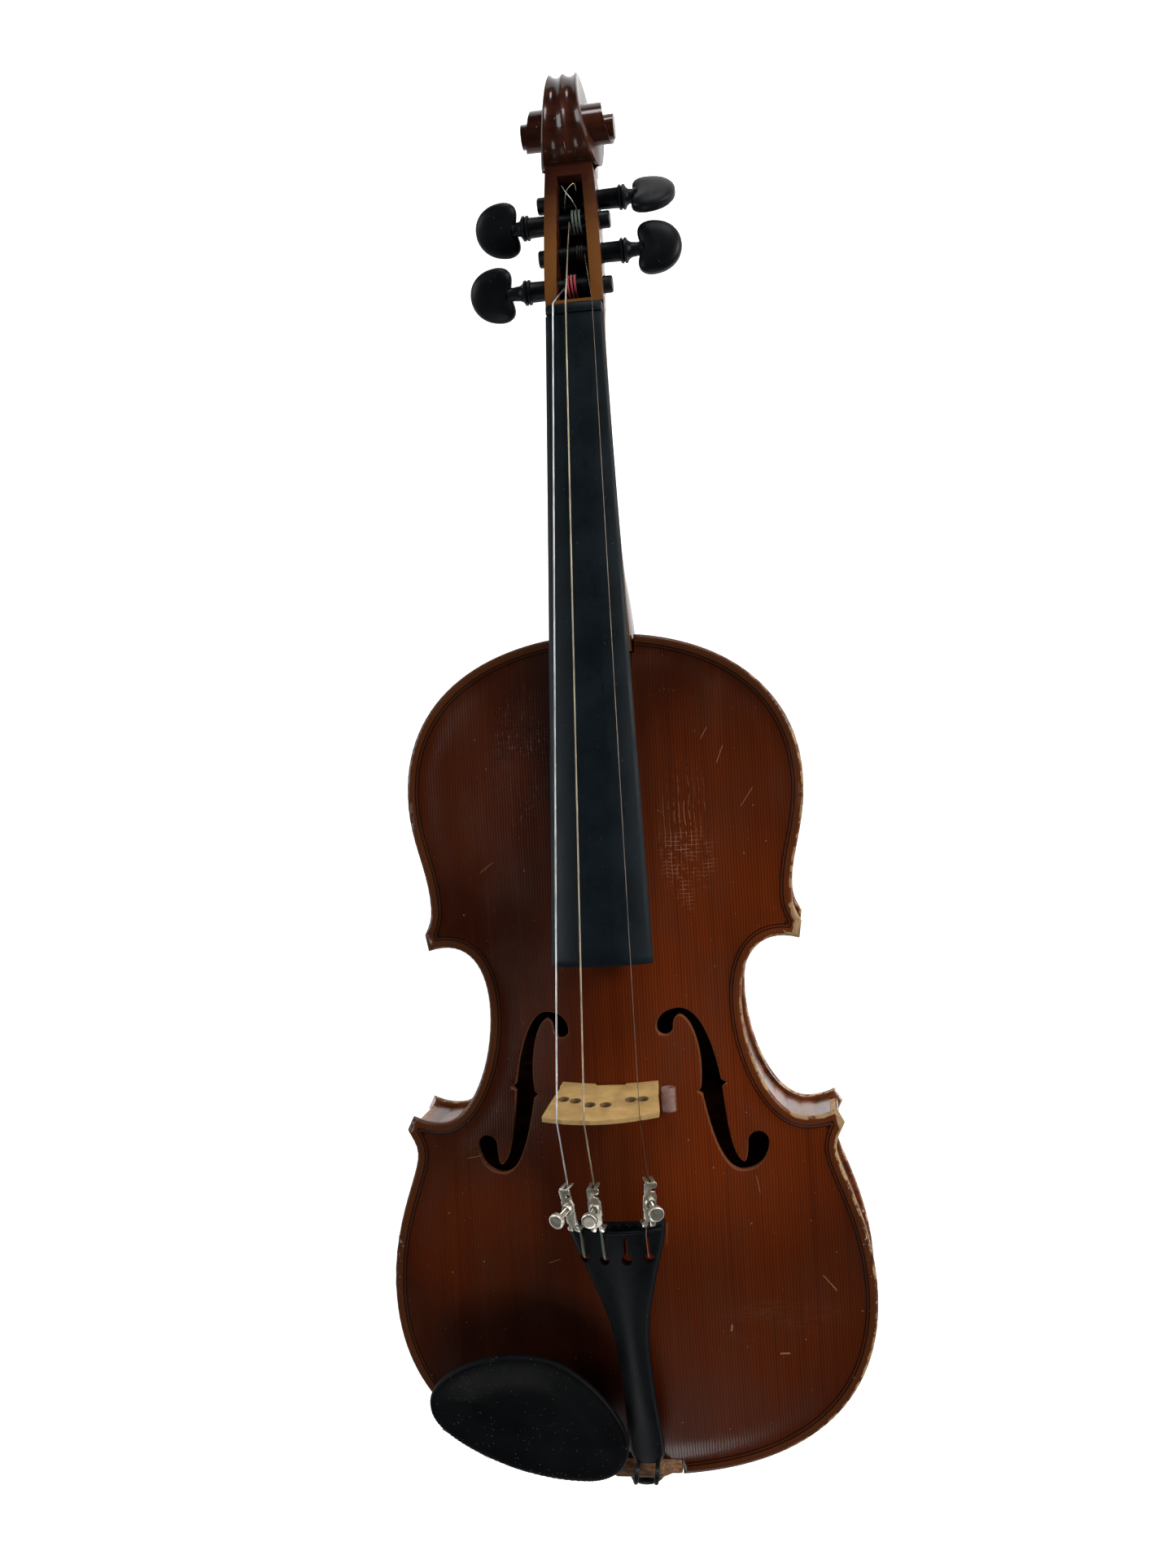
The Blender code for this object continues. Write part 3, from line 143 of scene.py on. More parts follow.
def arc(centre, radius, start, end, count):
    angles = np.radians(np.linspace(start, end, count + 1))
    ring = np.stack([np.cos(angles), np.sin(angles)], axis=1)
    return np.array(centre) + radius * ring


def mirrored(points):
    return np.asarray(points)[::-1] * np.array([-1.0, 1.0])


def offset(curve, distance):
    """The curve moved to its right-hand side, which is inwards on the outline."""
    step = np.gradient(curve, axis=0)
    step /= np.linalg.norm(step, axis=1)[:, None]
    return curve + distance * np.stack([step[:, 1], -step[:, 0]], axis=1)


def nearest(points, line):
    """Distance from each point to a polyline."""
    points = np.atleast_2d(points)
    a = line[:-1]
    run = line[1:] - a
    along = ((points[:, None] - a) * run).sum(2) / (run * run).sum(1)
    foot = a + np.clip(along, 0, 1)[..., None] * run
    return np.sqrt(((points[:, None] - foot) ** 2).sum(2)).min(1)


def inside(points, loop):
    x, y = np.atleast_2d(points).T
    found = np.zeros(len(x), bool)
    for (x0, y0), (x1, y1) in zip(loop, np.roll(loop, -1, axis=0)):
        crosses = (y0 > y) != (y1 > y)
        if y0 != y1:
            found ^= crosses & (x < (x1 - x0) * (y - y0) / (y1 - y0) + x0)
    return found


def slab(outer, holes, extra, lower, upper):
    """A closed sheet over a flat outline, between two surfaces of (x, y)."""
    loops = [np.asarray(outer, float)] + [np.asarray(hole, float) for hole in holes]
    points, edges = [], []
    for loop in loops:
        first = len(points)
        points.extend(map(tuple, loop))
        edges.extend((first + i, first + (i + 1) % len(loop)) for i in range(len(loop)))
    points.extend(map(tuple, extra))
    flat, _, triangles, *_ = delaunay_2d_cdt([Vector(p) for p in points], edges, [], 0, 1e-5)
    flat = np.array([tuple(p) for p in flat])
    triangles = np.array([tuple(t) for t in triangles])
    middle = flat[triangles].mean(1)
    keep = inside(middle, loops[0])
    for hole in loops[1:]:
        keep &= ~inside(middle, hole)
    triangles = triangles[keep]
    a, b, c = flat[triangles].transpose(1, 0, 2)
    turn = (b - a)[:, 0] * (c - a)[:, 1] - (b - a)[:, 1] * (c - a)[:, 0]
    triangles[turn < 0] = triangles[turn < 0][:, ::-1]
    used = np.unique(triangles)
    place = np.zeros(len(flat), int)
    place[used] = np.arange(len(used))
    triangles = place[triangles]
    flat = flat[used]
    count = len(flat)
    faces = [tuple(t) for t in triangles]
    faces += [tuple(t[::-1] + count) for t in triangles]
    directed = {(t[i], t[(i + 1) % 3]) for t in triangles for i in range(3)}
    for p, q in sorted(directed):
        if (q, p) not in directed:
            faces.append((p + count, q + count, q, p))
    return np.vstack([upper(flat), lower(flat)]), faces


def level(z):
    return lambda flat: np.column_stack([flat, np.full(len(flat), float(z))])


def prism(outline, bottom, top):
    return slab(outline, [], [], level(bottom), level(top))


def loft(sections, closed=False):
    """A skin over rings with equal counts, capped unless it closes on itself."""
    count = len(sections[0])
    rings = len(sections)
    points = np.vstack(sections)
    faces = []
    for k in range(rings if closed else rings - 1):
        a, b = k * count, ((k + 1) % rings) * count
        faces += [(a + i, a + (i + 1) % count, b + (i + 1) % count, b + i) for i in range(count)]
    if not closed:
        faces.append(tuple(range(count))[::-1])
        faces.append(tuple(range((rings - 1) * count, rings * count)))
    return points, faces


def turned(profile, sides, centre=(0, 0, 0), axis="z", frame=None):
    """A profile of (radius, height) rows turned about an axis through centre."""
    angles = np.linspace(0, 2 * pi, sides, endpoint=False)
    rings = []
    for radius, height in profile:
        ring = np.stack([radius * np.cos(angles), radius * np.sin(angles),
            np.full(sides, float(height))], axis=1)
        rings.append(ring)
    points, faces = loft(rings)
    if axis == "x":
        points = points[:, [2, 0, 1]]
    if axis == "y":
        points = points[:, [1, 2, 0]]
    if frame is not None:
        points = points @ frame.T
    return points + np.array(centre, float), faces


def tube(path, radius, sides):
    """A round rod along a path, its rings carried along without twist."""
    path = np.asarray(path, float)
    step = np.gradient(path, axis=0)
    step /= np.linalg.norm(step, axis=1)[:, None]
    side = np.cross(step[0], (0.0, 0.31, 0.95))
    radii = np.broadcast_to(radius, len(path))
    angles = np.linspace(0, 2 * pi, sides, endpoint=False)
    rings = []
    for centre, ahead, size in zip(path, step, radii):
        side = side - ahead * side.dot(ahead)
        side /= np.linalg.norm(side)
        up = np.cross(ahead, side)
        rings.append(centre + size * (np.outer(np.cos(angles), side) + np.outer(np.sin(angles),
            up)))
    return loft(rings)


def box(low, high):
    (x0, y0, z0), (x1, y1, z1) = low, high
    return prism([(x0, y0), (x1, y0), (x1, y1), (x0, y1)], z0, z1)


def moved(solid, frame, centre):
    points, faces = solid
    return np.asarray(points) @ frame.T + np.array(centre, float), faces


UPPER_BOUT = [((0, 354.3), (46.3, 354.3), (83.2, 332.6), (83.2, 289), 15),
    ((83.2, 289), (83.2, 270.2), (76.1, 259), (76.1, 243), 5),
    ((76.1, 243), (76.1, 238.3), (77.1, 236.1), (79.4, 231.8), 2)]
MIDDLE_BOUT = [((78.2, 224.8), (60, 230.3), (53.1, 216.1), (53.1, 199), 8),
    ((53.1, 199), (53.1, 176.3), (64, 151.2), (77.5, 151.2), 8),
    ((77.5, 151.2), (81.7, 151.2), (85.3, 152), (89.5, 154), 2)]
LOWER_BOUT = [((92.4, 148.5), (90.8, 144.5), (88.6, 142.3), (88.6, 138), 2),
    ((88.6, 138), (88.6, 129), (102.1, 108.6), (102.1, 78), 6),
    ((102.1, 78), (102.1, 24.8), (60.1, 0), (0, 0), 17)]
ARCH_WIDTH = [(-4, 0), (4, 34), (20, 68), (45, 88), (79, 96), (112, 90), (140, 75), (165, 57),
    (199, 49), (226, 54), (250, 65), (289, 78), (320, 70), (340, 51), (351, 30), (358, 0)]
F_HOLE = [((24.9, 191.5), (24.9, 194), (26, 195.9), (27.6, 195.8), 2),
    ((27.6, 195.8), (33, 194.5), (36.8, 178), (34.8, 165.2), 5),
    ((34.8, 165.2), (34.4, 164.6), (33.8, 164.2), (33.2, 163.9), 1),
    ((33.2, 163.9), (33.9, 163.5), (34.6, 162.9), (35.3, 162.2), 1),
    ((35.3, 162.2), (37.6, 150), (41.5, 130.6), (50.6, 130.6), 6),
    ((50.6, 130.6), (57.5, 130.6), (61.3, 136), (61.3, 141.8), 3)]
F_HOLE_BACK = [((52.7, 141.8), (52.6, 138), (52.3, 134.6), (51, 134.2), 2),
    ((51, 134.2), (46.5, 135.5), (44.6, 150), (43.4, 164.9), 5),
    ((43.4, 164.9), (44, 165.6), (44.7, 166.2), (45.5, 166.6), 1),
    ((45.5, 166.6), (44.6, 166.9), (43.9, 167.4), (43.1, 168.1), 1),
    ((43.1, 168.1), (40.5, 184), (35.5, 198.7), (27.2, 198.7), 5),
    ((27.2, 198.7), (21.5, 198.7), (18.3, 195.5), (18.3, 191.3), 3)]


def half_outline(detail=1.0):
    bouts = [chain(bout, detail) for bout in (UPPER_BOUT, MIDDLE_BOUT, LOWER_BOUT)]
    return np.vstack(bouts)


def full_outline(detail=1.0):
    half = half_outline(detail)
    return np.vstack([half, mirrored(half)[1:-1]])


def belly_outline(detail=1.0):
    """The outline with the neck's mortise and the saddle's notch cut into it."""
    half = half_outline(detail)
    half = half[(half[:, 0] > 19.0)]
    top = [(17.2, 345.4), (17.2, 353.0)]
    bottom = [(18.0, 1.1), (18.0, 7.8)]
    half = np.vstack([top, half, bottom])
    return np.vstack([half, mirrored(half)])


def back_outline(detail=1.0):
    """The outline with the button that carries the foot of the neck."""
    half = half_outline(detail)
    half = half[(half[:, 0] > 12.5) | (half[:, 1] < 100)]
    button = arc((0, 357.5), 10.6, 90, 0, 5)
    half = np.vstack([button, [(10.6, 354.6)], half])
    return np.vstack([half, mirrored(half)[1:-1]])


def f_hole(side, detail=1.0):
    first = chain(F_HOLE, detail)
    lower_eye = arc((57, 141.8), 4.3, 0, 180, max(6, round(6 * detail)))
    second = chain(F_HOLE_BACK, detail)
    upper_eye = arc((21.6, 191.4), 3.3, 180, 360, max(6, round(6 * detail)))
    loop = np.vstack([first, lower_eye[1:-1], second, upper_eye[1:-1]])
    return loop * np.array([side, 1.0])

OUTLINE_LINE = np.vstack([full_outline(2.0), full_outline(2.0)[:1]])


def arch(flat, height):
    """The smooth arching over the outline, 0 at the edge and height in the middle."""
    x, y = flat[:, 0], flat[:, 1]
    along = np.clip(np.minimum(y, BODY_LENGTH - y) / (0.5 * BODY_LENGTH), 0, 1)
    long_arch = 1.0 - (1.0 - along) ** 2.6
    across = np.clip(np.abs(x) / np.maximum(through(y, ARCH_WIDTH), 1.0), 0, 1)
    return height * long_arch * (0.5 + 0.5 * np.cos(pi * across)) ** 0.9


def plate_outer(flat, height):
    """Height of a plate's outer face above its inner edge plane."""
    depth = nearest(flat, OUTLINE_LINE)
    channel = 0.9 * ease(depth, 1.5, 6.0) * (1.0 - ease(depth, 6.0, 15.0))
    return EDGE + arch(flat, height) - channel


def plate_inner(flat, height):
    depth = nearest(flat, OUTLINE_LINE)
    return arch(flat, height + 1.0) * ease(depth, 7.0, 15.0)


def belly_top(flat):
    return np.column_stack([flat, plate_outer(flat, BELLY_ARCH) - EDGE])


def board_edge(y):
    return NUT_EDGE_Z + BOARD_SLOPE * (NUT_Y - y)


def board_half_width(y):
    return 12.0 + (BOARD_END - y) * 8.6 / 266.1

NECK_BOTTOM = [(345, -34.2), (366, -34.2), (370, -31), (375, -24.5), (383, -16.6), (393, -12.8),
    (404, -11.6), (480, -18.4), (486, -20.6), (492, -26.0), (502, -30.5), (520, -35.3),
    (540, -39.3), (556, -40.6)]
NECK_HALF_WIDTH = [(345, 16.7), (354, 16.4), (366, 15.7), (478, 12.1), (486, 12.0), (500, 12.2),
    (520, 11.7), (548, 10.3), (556, 9.2)]
NECK_SQUARE = [(345, 0.42), (362, 0.5), (392, 0.9), (470, 0.92), (492, 0.5), (556, 0.4)]
CHEEK_TOP = [(491.9, -5.9), (548, -13.0), (556, -13.6)]
PEGBOX = [(493.6, 7.8, -21.5), (506, 7.3, -26.5), (530, 6.4, -33.0), (547, 5.6, -33.0)]


def neck_section(y, top, arcs):
    """A ring of the neck: flat on top and rounded below."""
    half = float(through(y, NECK_HALF_WIDTH))
    low = float(through(y, NECK_BOTTOM))
    power = float(through(y, NECK_SQUARE))
    angles = np.linspace(0, pi, arcs + 1)
    x = half * np.sign(np.cos(angles)) * np.abs(np.cos(angles)) ** power
    z = top - (top - low) * np.sin(angles) ** power
    ring = np.stack([x, np.full(len(x), y), z], axis=1)
    return ring

SCROLL_EDGE = [(-180, 17.2), (-135, 21.3), (-90, 24.6), (-45, 24.6), (0, 23.4), (45, 21.0),
    (90, 18.9), (135, 17.1), (180, 15.5), (270, 12.8), (360, 10.4), (450, 8.5), (540, 7.0),
    (630, 5.9), (720, 5.1), (1080, 5.1)]
SCROLL_WIDTH = [(-180, 10.3), (-135, 9.9), (-90, 8.8), (-45, 7.1), (0, 6.0), (45, 6.6), (90, 8.0),
    (135, 10.2), (180, 12.2), (270, 13.6), (360, 14.6), (450, 16.3), (540, 18.2), (630, 19.3),
    (720, 19.7), (1080, 19.7)]
MIRROR = {1: np.eye(3), -1: np.diag([-1.0, 1.0, 1.0])}
PEG_PROFILE = [(3.2, -15.4), (3.55, -14.9), (4.22, 19.0), (4.3, 19.2), (5.1, 19.6), (5.2, 20.3),
    (4.4, 20.8), (5.2, 21.3), (5.1, 22.1), (4.0, 22.7)]
PEG_HEADS = {"g": (24, 3.0), "e": (-6, 2.6), "d": (28, 0.0), "a": (-40, 0.8)}
THUMB = [((25.2, 0), (25.0, 3.4), (23.6, 5.6), (24.4, 8.2), 2),
    ((24.4, 8.2), (25.2, 10.6), (28.2, 11.6), (31.4, 11.2), 2),
    ((31.4, 11.2), (38.6, 10.6), (42.6, 5.6), (42.6, 0), 4)]
BRIDGE_HOLES = [(-17.0, 14.2), (-11.9, 15.8), (-5.6, 19.6), (0.8, 19.9), (10.4, 15.6),
    (15.2, 15.2)]


def bridge_frame():
    """Across, along the leaning face and through it."""
    lean = atan2(BRIDGE_LEAN, BRIDGE_HEIGHT)
    up = np.array([0.0, -sin(lean), cos(lean)])
    return np.column_stack([(1.0, 0.0, 0.0), up, np.cross((1.0, 0.0, 0.0), up)])


def bridge_crown(x):
    """Height of the crown above the feet, higher on the bass side."""
    return 33.6 - 0.0098 * (x + 3.5) ** 2


def bridge_place(flat, side):
    thick = 4.4 - 2.6 * np.clip(flat[:, 1] / 32.0, 0, 1)
    local = np.column_stack([flat, -side * 0.5 * thick])
    foot_z = 11.2
    centre = (BRIDGE_FOOT[0], BRIDGE_FOOT[1], foot_z)
    return local @ bridge_frame().T + np.array(centre)


def bridge_foot(x):
    """The feet are cut to the belly's arch."""
    flat = np.column_stack([x + BRIDGE_FOOT[0], np.full(len(x), BRIDGE_FOOT[1])])
    return belly_top(flat)[:, 2] - 11.2 + 0.55


def crown_point(x):
    """The top of the bridge under a string, in design coordinates."""
    u = x - BRIDGE_FOOT[0]
    flat = np.array([(u, bridge_crown(u))])
    return 0.5 * (bridge_place(flat, -1) + bridge_place(flat, 1))[0]

TAIL_HALF_WIDTH = [(11.4, 3.4), (12.6, 5.4), (15.5, 6.9), (20, 7.2), (45, 6.4), (60, 6.8),
    (72, 7.8), (93, 13.0), (112, 18.8), (118.6, 19.9)]


def tail_axis(y):
    return -0.2 + (118.0 - y) * 0.05


def tail_z(y):
    return 14.0 + (y - 12.0) * 17.0 / 106.0


def tail_surface(height):
    def surface(flat):
        x, y = flat[:, 0], flat[:, 1]
        half = through(y, TAIL_HALF_WIDTH)
        across = np.clip(np.abs(x - tail_axis(y)) / half, 0, 1)
        crown = 3.4 * (1.0 - across**2) * ease(y, 20, 110) + 1.6 * (1.0 - across**2)
        z = tail_z(y) + (crown - 2.2 if height > 0 else 0.55 * crown - 5.6)
        return np.column_stack([flat, z])

    return surface


def tail_top(x, y):
    return float(tail_surface(1)(np.array([(x, y)]))[0, 2])


def smooth_path(points, count):
    """Points spread along a smooth curve through a short list of points."""
    points = np.array(points, float)
    reach = np.concatenate([[0], np.cumsum(np.linalg.norm(np.diff(points, axis=0), axis=1))])
    at = np.linspace(0, reach[-1], count)
    return np.column_stack([through_line(at, reach, points[:, i]) for i in range(3)])


def through_line(at, xs, ys):
    """A Catmull-Rom curve through (xs, ys)."""
    tangent = np.gradient(ys, xs)
    i = np.clip(np.searchsorted(xs, at, side="right") - 1, 0, len(xs) - 2)
    width = xs[i + 1] - xs[i]
    t = (at - xs[i]) / width
    first = ys[i] * (1 + 2 * t) * (1 - t) ** 2 + tangent[i] * width * t * (1 - t) ** 2
    return first + ys[i + 1] * t * t * (3 - 2 * t) - tangent[i + 1] * width * t * t * (1 - t)


def string_line(name, y):
    """A string's height between the bridge and the tailpiece fret."""
    _, _, bridge_x, hook_x, _ = STRINGS[name]
    top = crown_point(bridge_x) + np.array([0, 0, 0.8])
    end = np.array([KEYHOLES[name], 113.0, tail_top(KEYHOLES[name], 113.0) + 2.6])
    hook_y = TUNER_Y[name] + 9.2
    hook = top + (top[1] - hook_y) / (top[1] - end[1]) * (end - top)
    hook[0] = hook_x
    if y > hook_y:
        return top + (top[1] - y) / (top[1] - hook_y) * (hook - top)
    return hook + (hook_y - y) / (hook_y - end[1]) * (end - hook)


def tuner_frame(name):
    """Across the tuner, towards the bridge and out of its face."""
    roll = radians(STRINGS[name][4])
    ahead = string_line(name, 134.0) - string_line(name, 119.0)
    ahead /= np.linalg.norm(ahead)
    out = np.array([sin(roll), 0.0, cos(roll)])
    across = np.cross(ahead, out)
    across /= np.linalg.norm(across)
    return np.column_stack([across, ahead, np.cross(across, ahead)])


def ring_solid(inner, outer, low, high, sides, centre):
    rows = [(inner, low), (outer, low), (outer, high), (inner, high)]
    angles = np.linspace(0, 2 * pi, sides, endpoint=False)
    rings = []
    for angle in angles:
        rings.append(np.array([(centre[0] + r * cos(angle), centre[1] + r * sin(angle), z) for r,
            z in rows]))
    return loft(rings, closed=True)

REST = [((-84.5, 39), (-84, 48), (-72, 55), (-60, 58), 5),
    ((-60, 58), (-46, 61), (-33, 59.5), (-26, 55.5), 4),
    ((-26, 55.5), (-12, 47.5), (-1.4, 33), (-1.4, 23.6), 5),
    ((-1.4, 23.6), (-1.4, 13), (-9, 7.8), (-20, 7.8), 4),
    ((-20, 7.8), (-42, 7.4), (-65, 16.6), (-76.5, 25.4), 5),
    ((-76.5, 25.4), (-82, 29.6), (-84.8, 33.5), (-84.5, 39), 2)]


def rest_loop(detail=1.0):
    return chain(REST, detail)[:-1]


# Pieces


def merged(points, faces):
    """Faces turned outwards."""
    points = np.asarray(points, float)
    corners = np.array([(f[0], f[i], f[i + 1]) for f in faces for i in range(1, len(f) - 1)])
    a, b, c = points[corners].transpose(1, 0, 2)
    if (a * np.cross(b, c)).sum() > 0:
        return points, faces
    return points, [tuple(face)[::-1] for face in faces]


def raw(name, solid):
    """A mesh object from a design-frame solid."""
    points, faces = merged(*solid)
    mesh = bpy.data.meshes.new(name)
    mesh.from_pydata([tuple(world(p)) for p in points], [], [tuple(map(int, f)) for f in faces])
    mesh.validate()
    obj = bpy.data.objects.new(name, mesh)
    bpy.context.scene.collection.objects.link(obj)
    return obj


def baked(obj):
    """The object with its modifiers applied."""
    bpy.context.view_layer.update()
    graph = bpy.context.evaluated_depsgraph_get()
    mesh = bpy.data.meshes.new_from_object(obj.evaluated_get(graph))
    obj.modifiers.clear()
    obj.data = mesh
    return obj


def combine(obj, other, operation):
    """One Boolean step, the other object used up."""
    modifier = obj.modifiers.new("step", "BOOLEAN")
    modifier.operation = operation
    modifier.object = other
    modifier.solver = "EXACT"
    baked(obj)
    bpy.data.objects.remove(other)
    return obj


def rounded(obj, width, segments=2, angle=35.0):
    """Sharp edges broken by a small bevel, width in millimetres."""
    modifier = obj.modifiers.new("edge", "BEVEL")
    modifier.width = width * 0.001
    modifier.segments = segments
    modifier.limit_method = "ANGLE"
    modifier.angle_limit = radians(angle)
    modifier.harden_normals = False
    return baked(obj)


def finish(obj, material, body="violin", stands_for=None, sharp=35.0):
    obj.data.materials.clear()
    obj.data.materials.append(material)
    obj.data.shade_smooth()
    obj.data.set_sharp_from_angle(angle=radians(sharp))
    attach(obj, body)
    if stands_for:
        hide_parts(stands_for)
    return obj


def copy_of(node):
    """A welded copy of a CAD node's mesh, to be refined."""
    source = frame["nodes"][node]
    mesh = source.data.copy()
    obj = bpy.data.objects.new("fine_" + node, mesh)
    bpy.context.scene.collection.objects.link(obj)
    modifier = obj.modifiers.new("weld", "WELD")
    modifier.merge_threshold = 2e-6
    baked(obj)
    flat = obj.modifiers.new("flat", "DECIMATE")
    flat.decimate_type = "DISSOLVE"
    flat.angle_limit = radians(0.3)
    return baked(obj)


def paint(node, material):
    """A better material on a CAD node that keeps its shape."""
    mesh = frame["nodes"][node].data
    mesh.materials.clear()
    mesh.materials.append(material)


SLOT_OF = {part["node"]: part["material_slot"] for part in frame["record"]["subparts"]}


def put_field(obj, name, values):
    attribute = obj.data.attributes.new(name, "FLOAT", "POINT")
    attribute.data.foreach_set("value", np.asarray(values, np.float32))


# Materials


class Shader:
    """A small builder for node materials."""

    def __init__(self, name, **sockets):
        self.material = bpy.data.materials.new(name)
        self.material.use_nodes = True
        self.tree = self.material.node_tree
        self.main = self.tree.nodes["Principled BSDF"]
        for key, value in sockets.items():
            socket = self.main.inputs[key.replace("_", " ")]
            socket.default_value = value
        self.where = self.tree.nodes.new("ShaderNodeTexCoord").outputs["Object"]

    def link(self, source, socket):
        if isinstance(source, (int, float, tuple)):
            socket.default_value = source if not isinstance(source, tuple) else (*source, 1.0)[:4]
        else:
            self.tree.links.new(source, socket)

    def node(self, kind, **settings):
        node = self.tree.nodes.new("ShaderNode" + kind)
        for key, value in settings.items():
            setattr(node, key, value)
        return node

    def scaled(self, scale, turn=(0, 0, 0)):
        node = self.node("Mapping")
        self.tree.links.new(self.where, node.inputs["Vector"])
        node.inputs["Scale"].default_value = scale
        node.inputs["Rotation"].default_value = turn
        return node.outputs[0]

    def noise(self, scale, detail=4.0, rough=0.55, size=1.0, distortion=0.0):
        node = self.node("TexNoise")
        self.tree.links.new(self.scaled(scale), node.inputs["Vector"])
        node.inputs["Scale"].default_value = size
        node.inputs["Detail"].default_value = detail
        node.inputs["Roughness"].default_value = rough
        node.inputs["Distortion"].default_value = distortion
        return node.outputs["Fac"]

    def wave(self, scale, distortion, detail_scale=1.0, direction="X"):
        node = self.node("TexWave", wave_type="BANDS", bands_direction=direction)
        self.tree.links.new(self.where, node.inputs["Vector"])
        node.inputs["Scale"].default_value = scale
        node.inputs["Distortion"].default_value = distortion
        node.inputs["Detail"].default_value = 2.0
        node.inputs["Detail Scale"].default_value = detail_scale
        return node.outputs["Fac"]

    def cells(self, scale, feature="F1", randomness=1.0):
        node = self.node("TexVoronoi", feature=feature)
        self.tree.links.new(self.scaled(scale), node.inputs["Vector"])
        node.inputs["Scale"].default_value = 1.0
        node.inputs["Randomness"].default_value = randomness
        return node

    def ramp(self, source, low, high, start=0.0, end=1.0):
        node = self.node("MapRange", interpolation_type="SMOOTHSTEP")
        self.link(source, node.inputs["Value"])
        sockets = {"From Min": low, "From Max": high, "To Min": start, "To Max": end}
        for key, value in sockets.items():
            node.inputs[key].default_value = value
        return node.outputs[0]

    def math(self, operation, a, b=0.0, c=0.0):
        node = self.node("Math", operation=operation)
        for i, value in enumerate((a, b, c)):
            self.link(value, node.inputs[i])
        return node.outputs[0]

    def mix(self, amount, a, b):
        node = self.node("Mix", data_type="RGBA")
        self.link(amount, node.inputs[0])
        self.link(a, node.inputs[6])
        self.link(b, node.inputs[7])
        return node.outputs[2]

    def field(self, name):
        return self.node("Attribute", attribute_name=name).outputs["Fac"]

    def axis(self, which):
        node = self.node("SeparateXYZ")
        self.tree.links.new(self.where, node.inputs[0])
        return node.outputs[which]

    def times(self, a, b):
        return self.math("MULTIPLY", a, b)

    def plus(self, a, b):
        return self.math("ADD", a, b)

    def minus(self, a, b):
        return self.math("SUBTRACT", a, b)

    def facing_up(self):
        node = self.node("SeparateXYZ")
        self.tree.links.new(self.node("NewGeometry").outputs["Normal"], node.inputs[0])
        return node.outputs["Z"]

    def specks(self, per_metre, size, share):
        """Small dots: 1 on a dot and 0 off it."""
        cell = self.cells((per_metre,) * 3)
        near = self.ramp(cell.outputs["Distance"], size * 0.6, size, 1.0, 0.0)
        chosen = self.node("SeparateColor")
        self.tree.links.new(cell.outputs["Color"], chosen.inputs[0])
        return self.math("MULTIPLY", near, self.ramp(chosen.outputs[0], share, share * 0.97))

    def bump(self, height, strength, distance, under=None):
        node = self.node("Bump")
        node.inputs["Strength"].default_value = strength
        node.inputs["Distance"].default_value = distance
        self.link(height, node.inputs["Height"])
        if under is not None:
            self.tree.links.new(under, node.inputs["Normal"])
        return node.outputs[0]

    def done(self, colour=None, roughness=None, normal=None):
        if colour is not None:
            self.link(colour, self.main.inputs["Base Color"])
        if roughness is not None:
            self.link(roughness, self.main.inputs["Roughness"])
        if normal is not None:
            self.link(normal, self.main.inputs["Normal"])
            self.link(normal, self.main.inputs["Coat Normal"])
        return self.material


def crackle(s, where, across=(520, 260, 260), along=(330, 60, 200)):
    """Checked varnish: a net of short cracks inside a mask."""
    net = s.cells(across, "DISTANCE_TO_EDGE", 0.8).outputs["Distance"]
    long_net = s.cells(along, "DISTANCE_TO_EDGE", 0.9).outputs["Distance"]
    lines = s.math("MINIMUM", s.ramp(net, 0.0, 0.10), s.ramp(long_net, 0.0, 0.09))
    return s.times(s.minus(1.0, lines), where)


def ladder(s, where):
    """Long cracks along the grain with short rungs between them."""
    rails = s.ramp(s.wave(150.0, 2.6, 0.9), 0.90, 0.985)
    rungs = s.ramp(s.wave(190.0, 3.4, 1.1, "Y"), 0.90, 0.985)
    low = s.ramp(s.axis(1), -0.012, -0.030)
    gaps = s.ramp(s.noise((300, 260, 260), 3.0), 0.40, 0.55)
    lines = s.math("MAXIMUM", s.times(rails, 0.8), s.times(rungs, low))
    return s.times(s.times(lines, gaps), where)


def blob(s, x, y, rx, ry, core=0.25):
    """1 inside a soft ellipse on the belly, centre and radii in metres."""
    dx = s.math("DIVIDE", s.minus(s.axis(0), x), rx)
    dy = s.math("DIVIDE", s.minus(s.axis(1), y), ry)
    return s.ramp(s.plus(s.times(dx, dx), s.times(dy, dy)), 1.0, core)


def largest(s, masks):
    found = masks[0]
    for mask in masks[1:]:
        found = s.math("MAXIMUM", found, mask)
    return found


def scratches(s, marks):
    """Short pale strokes: (x, y, length, width, angle) each, in metres and degrees."""
    strokes = []
    for x, y, length, width, angle in marks:
        c, d = cos(radians(angle)), sin(radians(angle))
        dx = s.minus(s.axis(0), x)
        dy = s.minus(s.axis(1), y)
        along = s.plus(s.times(dx, c), s.times(dy, d))
        aside = s.minus(s.times(dy, c), s.times(dx, d))
        end = s.ramp(s.math("ABSOLUTE", along), length, length * 0.8)
        strokes.append(s.times(end, s.ramp(s.math("ABSOLUTE", aside), width, width * 0.4)))
    return largest(s, strokes)


MARKS = [(0.0829, -0.207, 0.0045, 0.00022, -50), (0.0838, -0.2082, 0.003, 0.00018, -52),
    (0.042, -0.2241, 0.0016, 0.0005, 80), (0.0631, -0.236, 0.0022, 0.0005, 0),
    (0.05, 0.012, 0.004, 0.00016, 68), (0.044, 0.021, 0.003, 0.00014, 60),
    (0.06, -0.006, 0.005, 0.00014, 55), (-0.0628, -0.1527, 0.004, 0.00014, 12),
    (-0.05, -0.03, 0.004, 0.00012, 35), (0.018, -0.183, 0.005, 0.00012, 85),
    (-0.03, -0.195, 0.003, 0.00012, 20), (0.056, -0.165, 0.004, 0.00012, 100)]


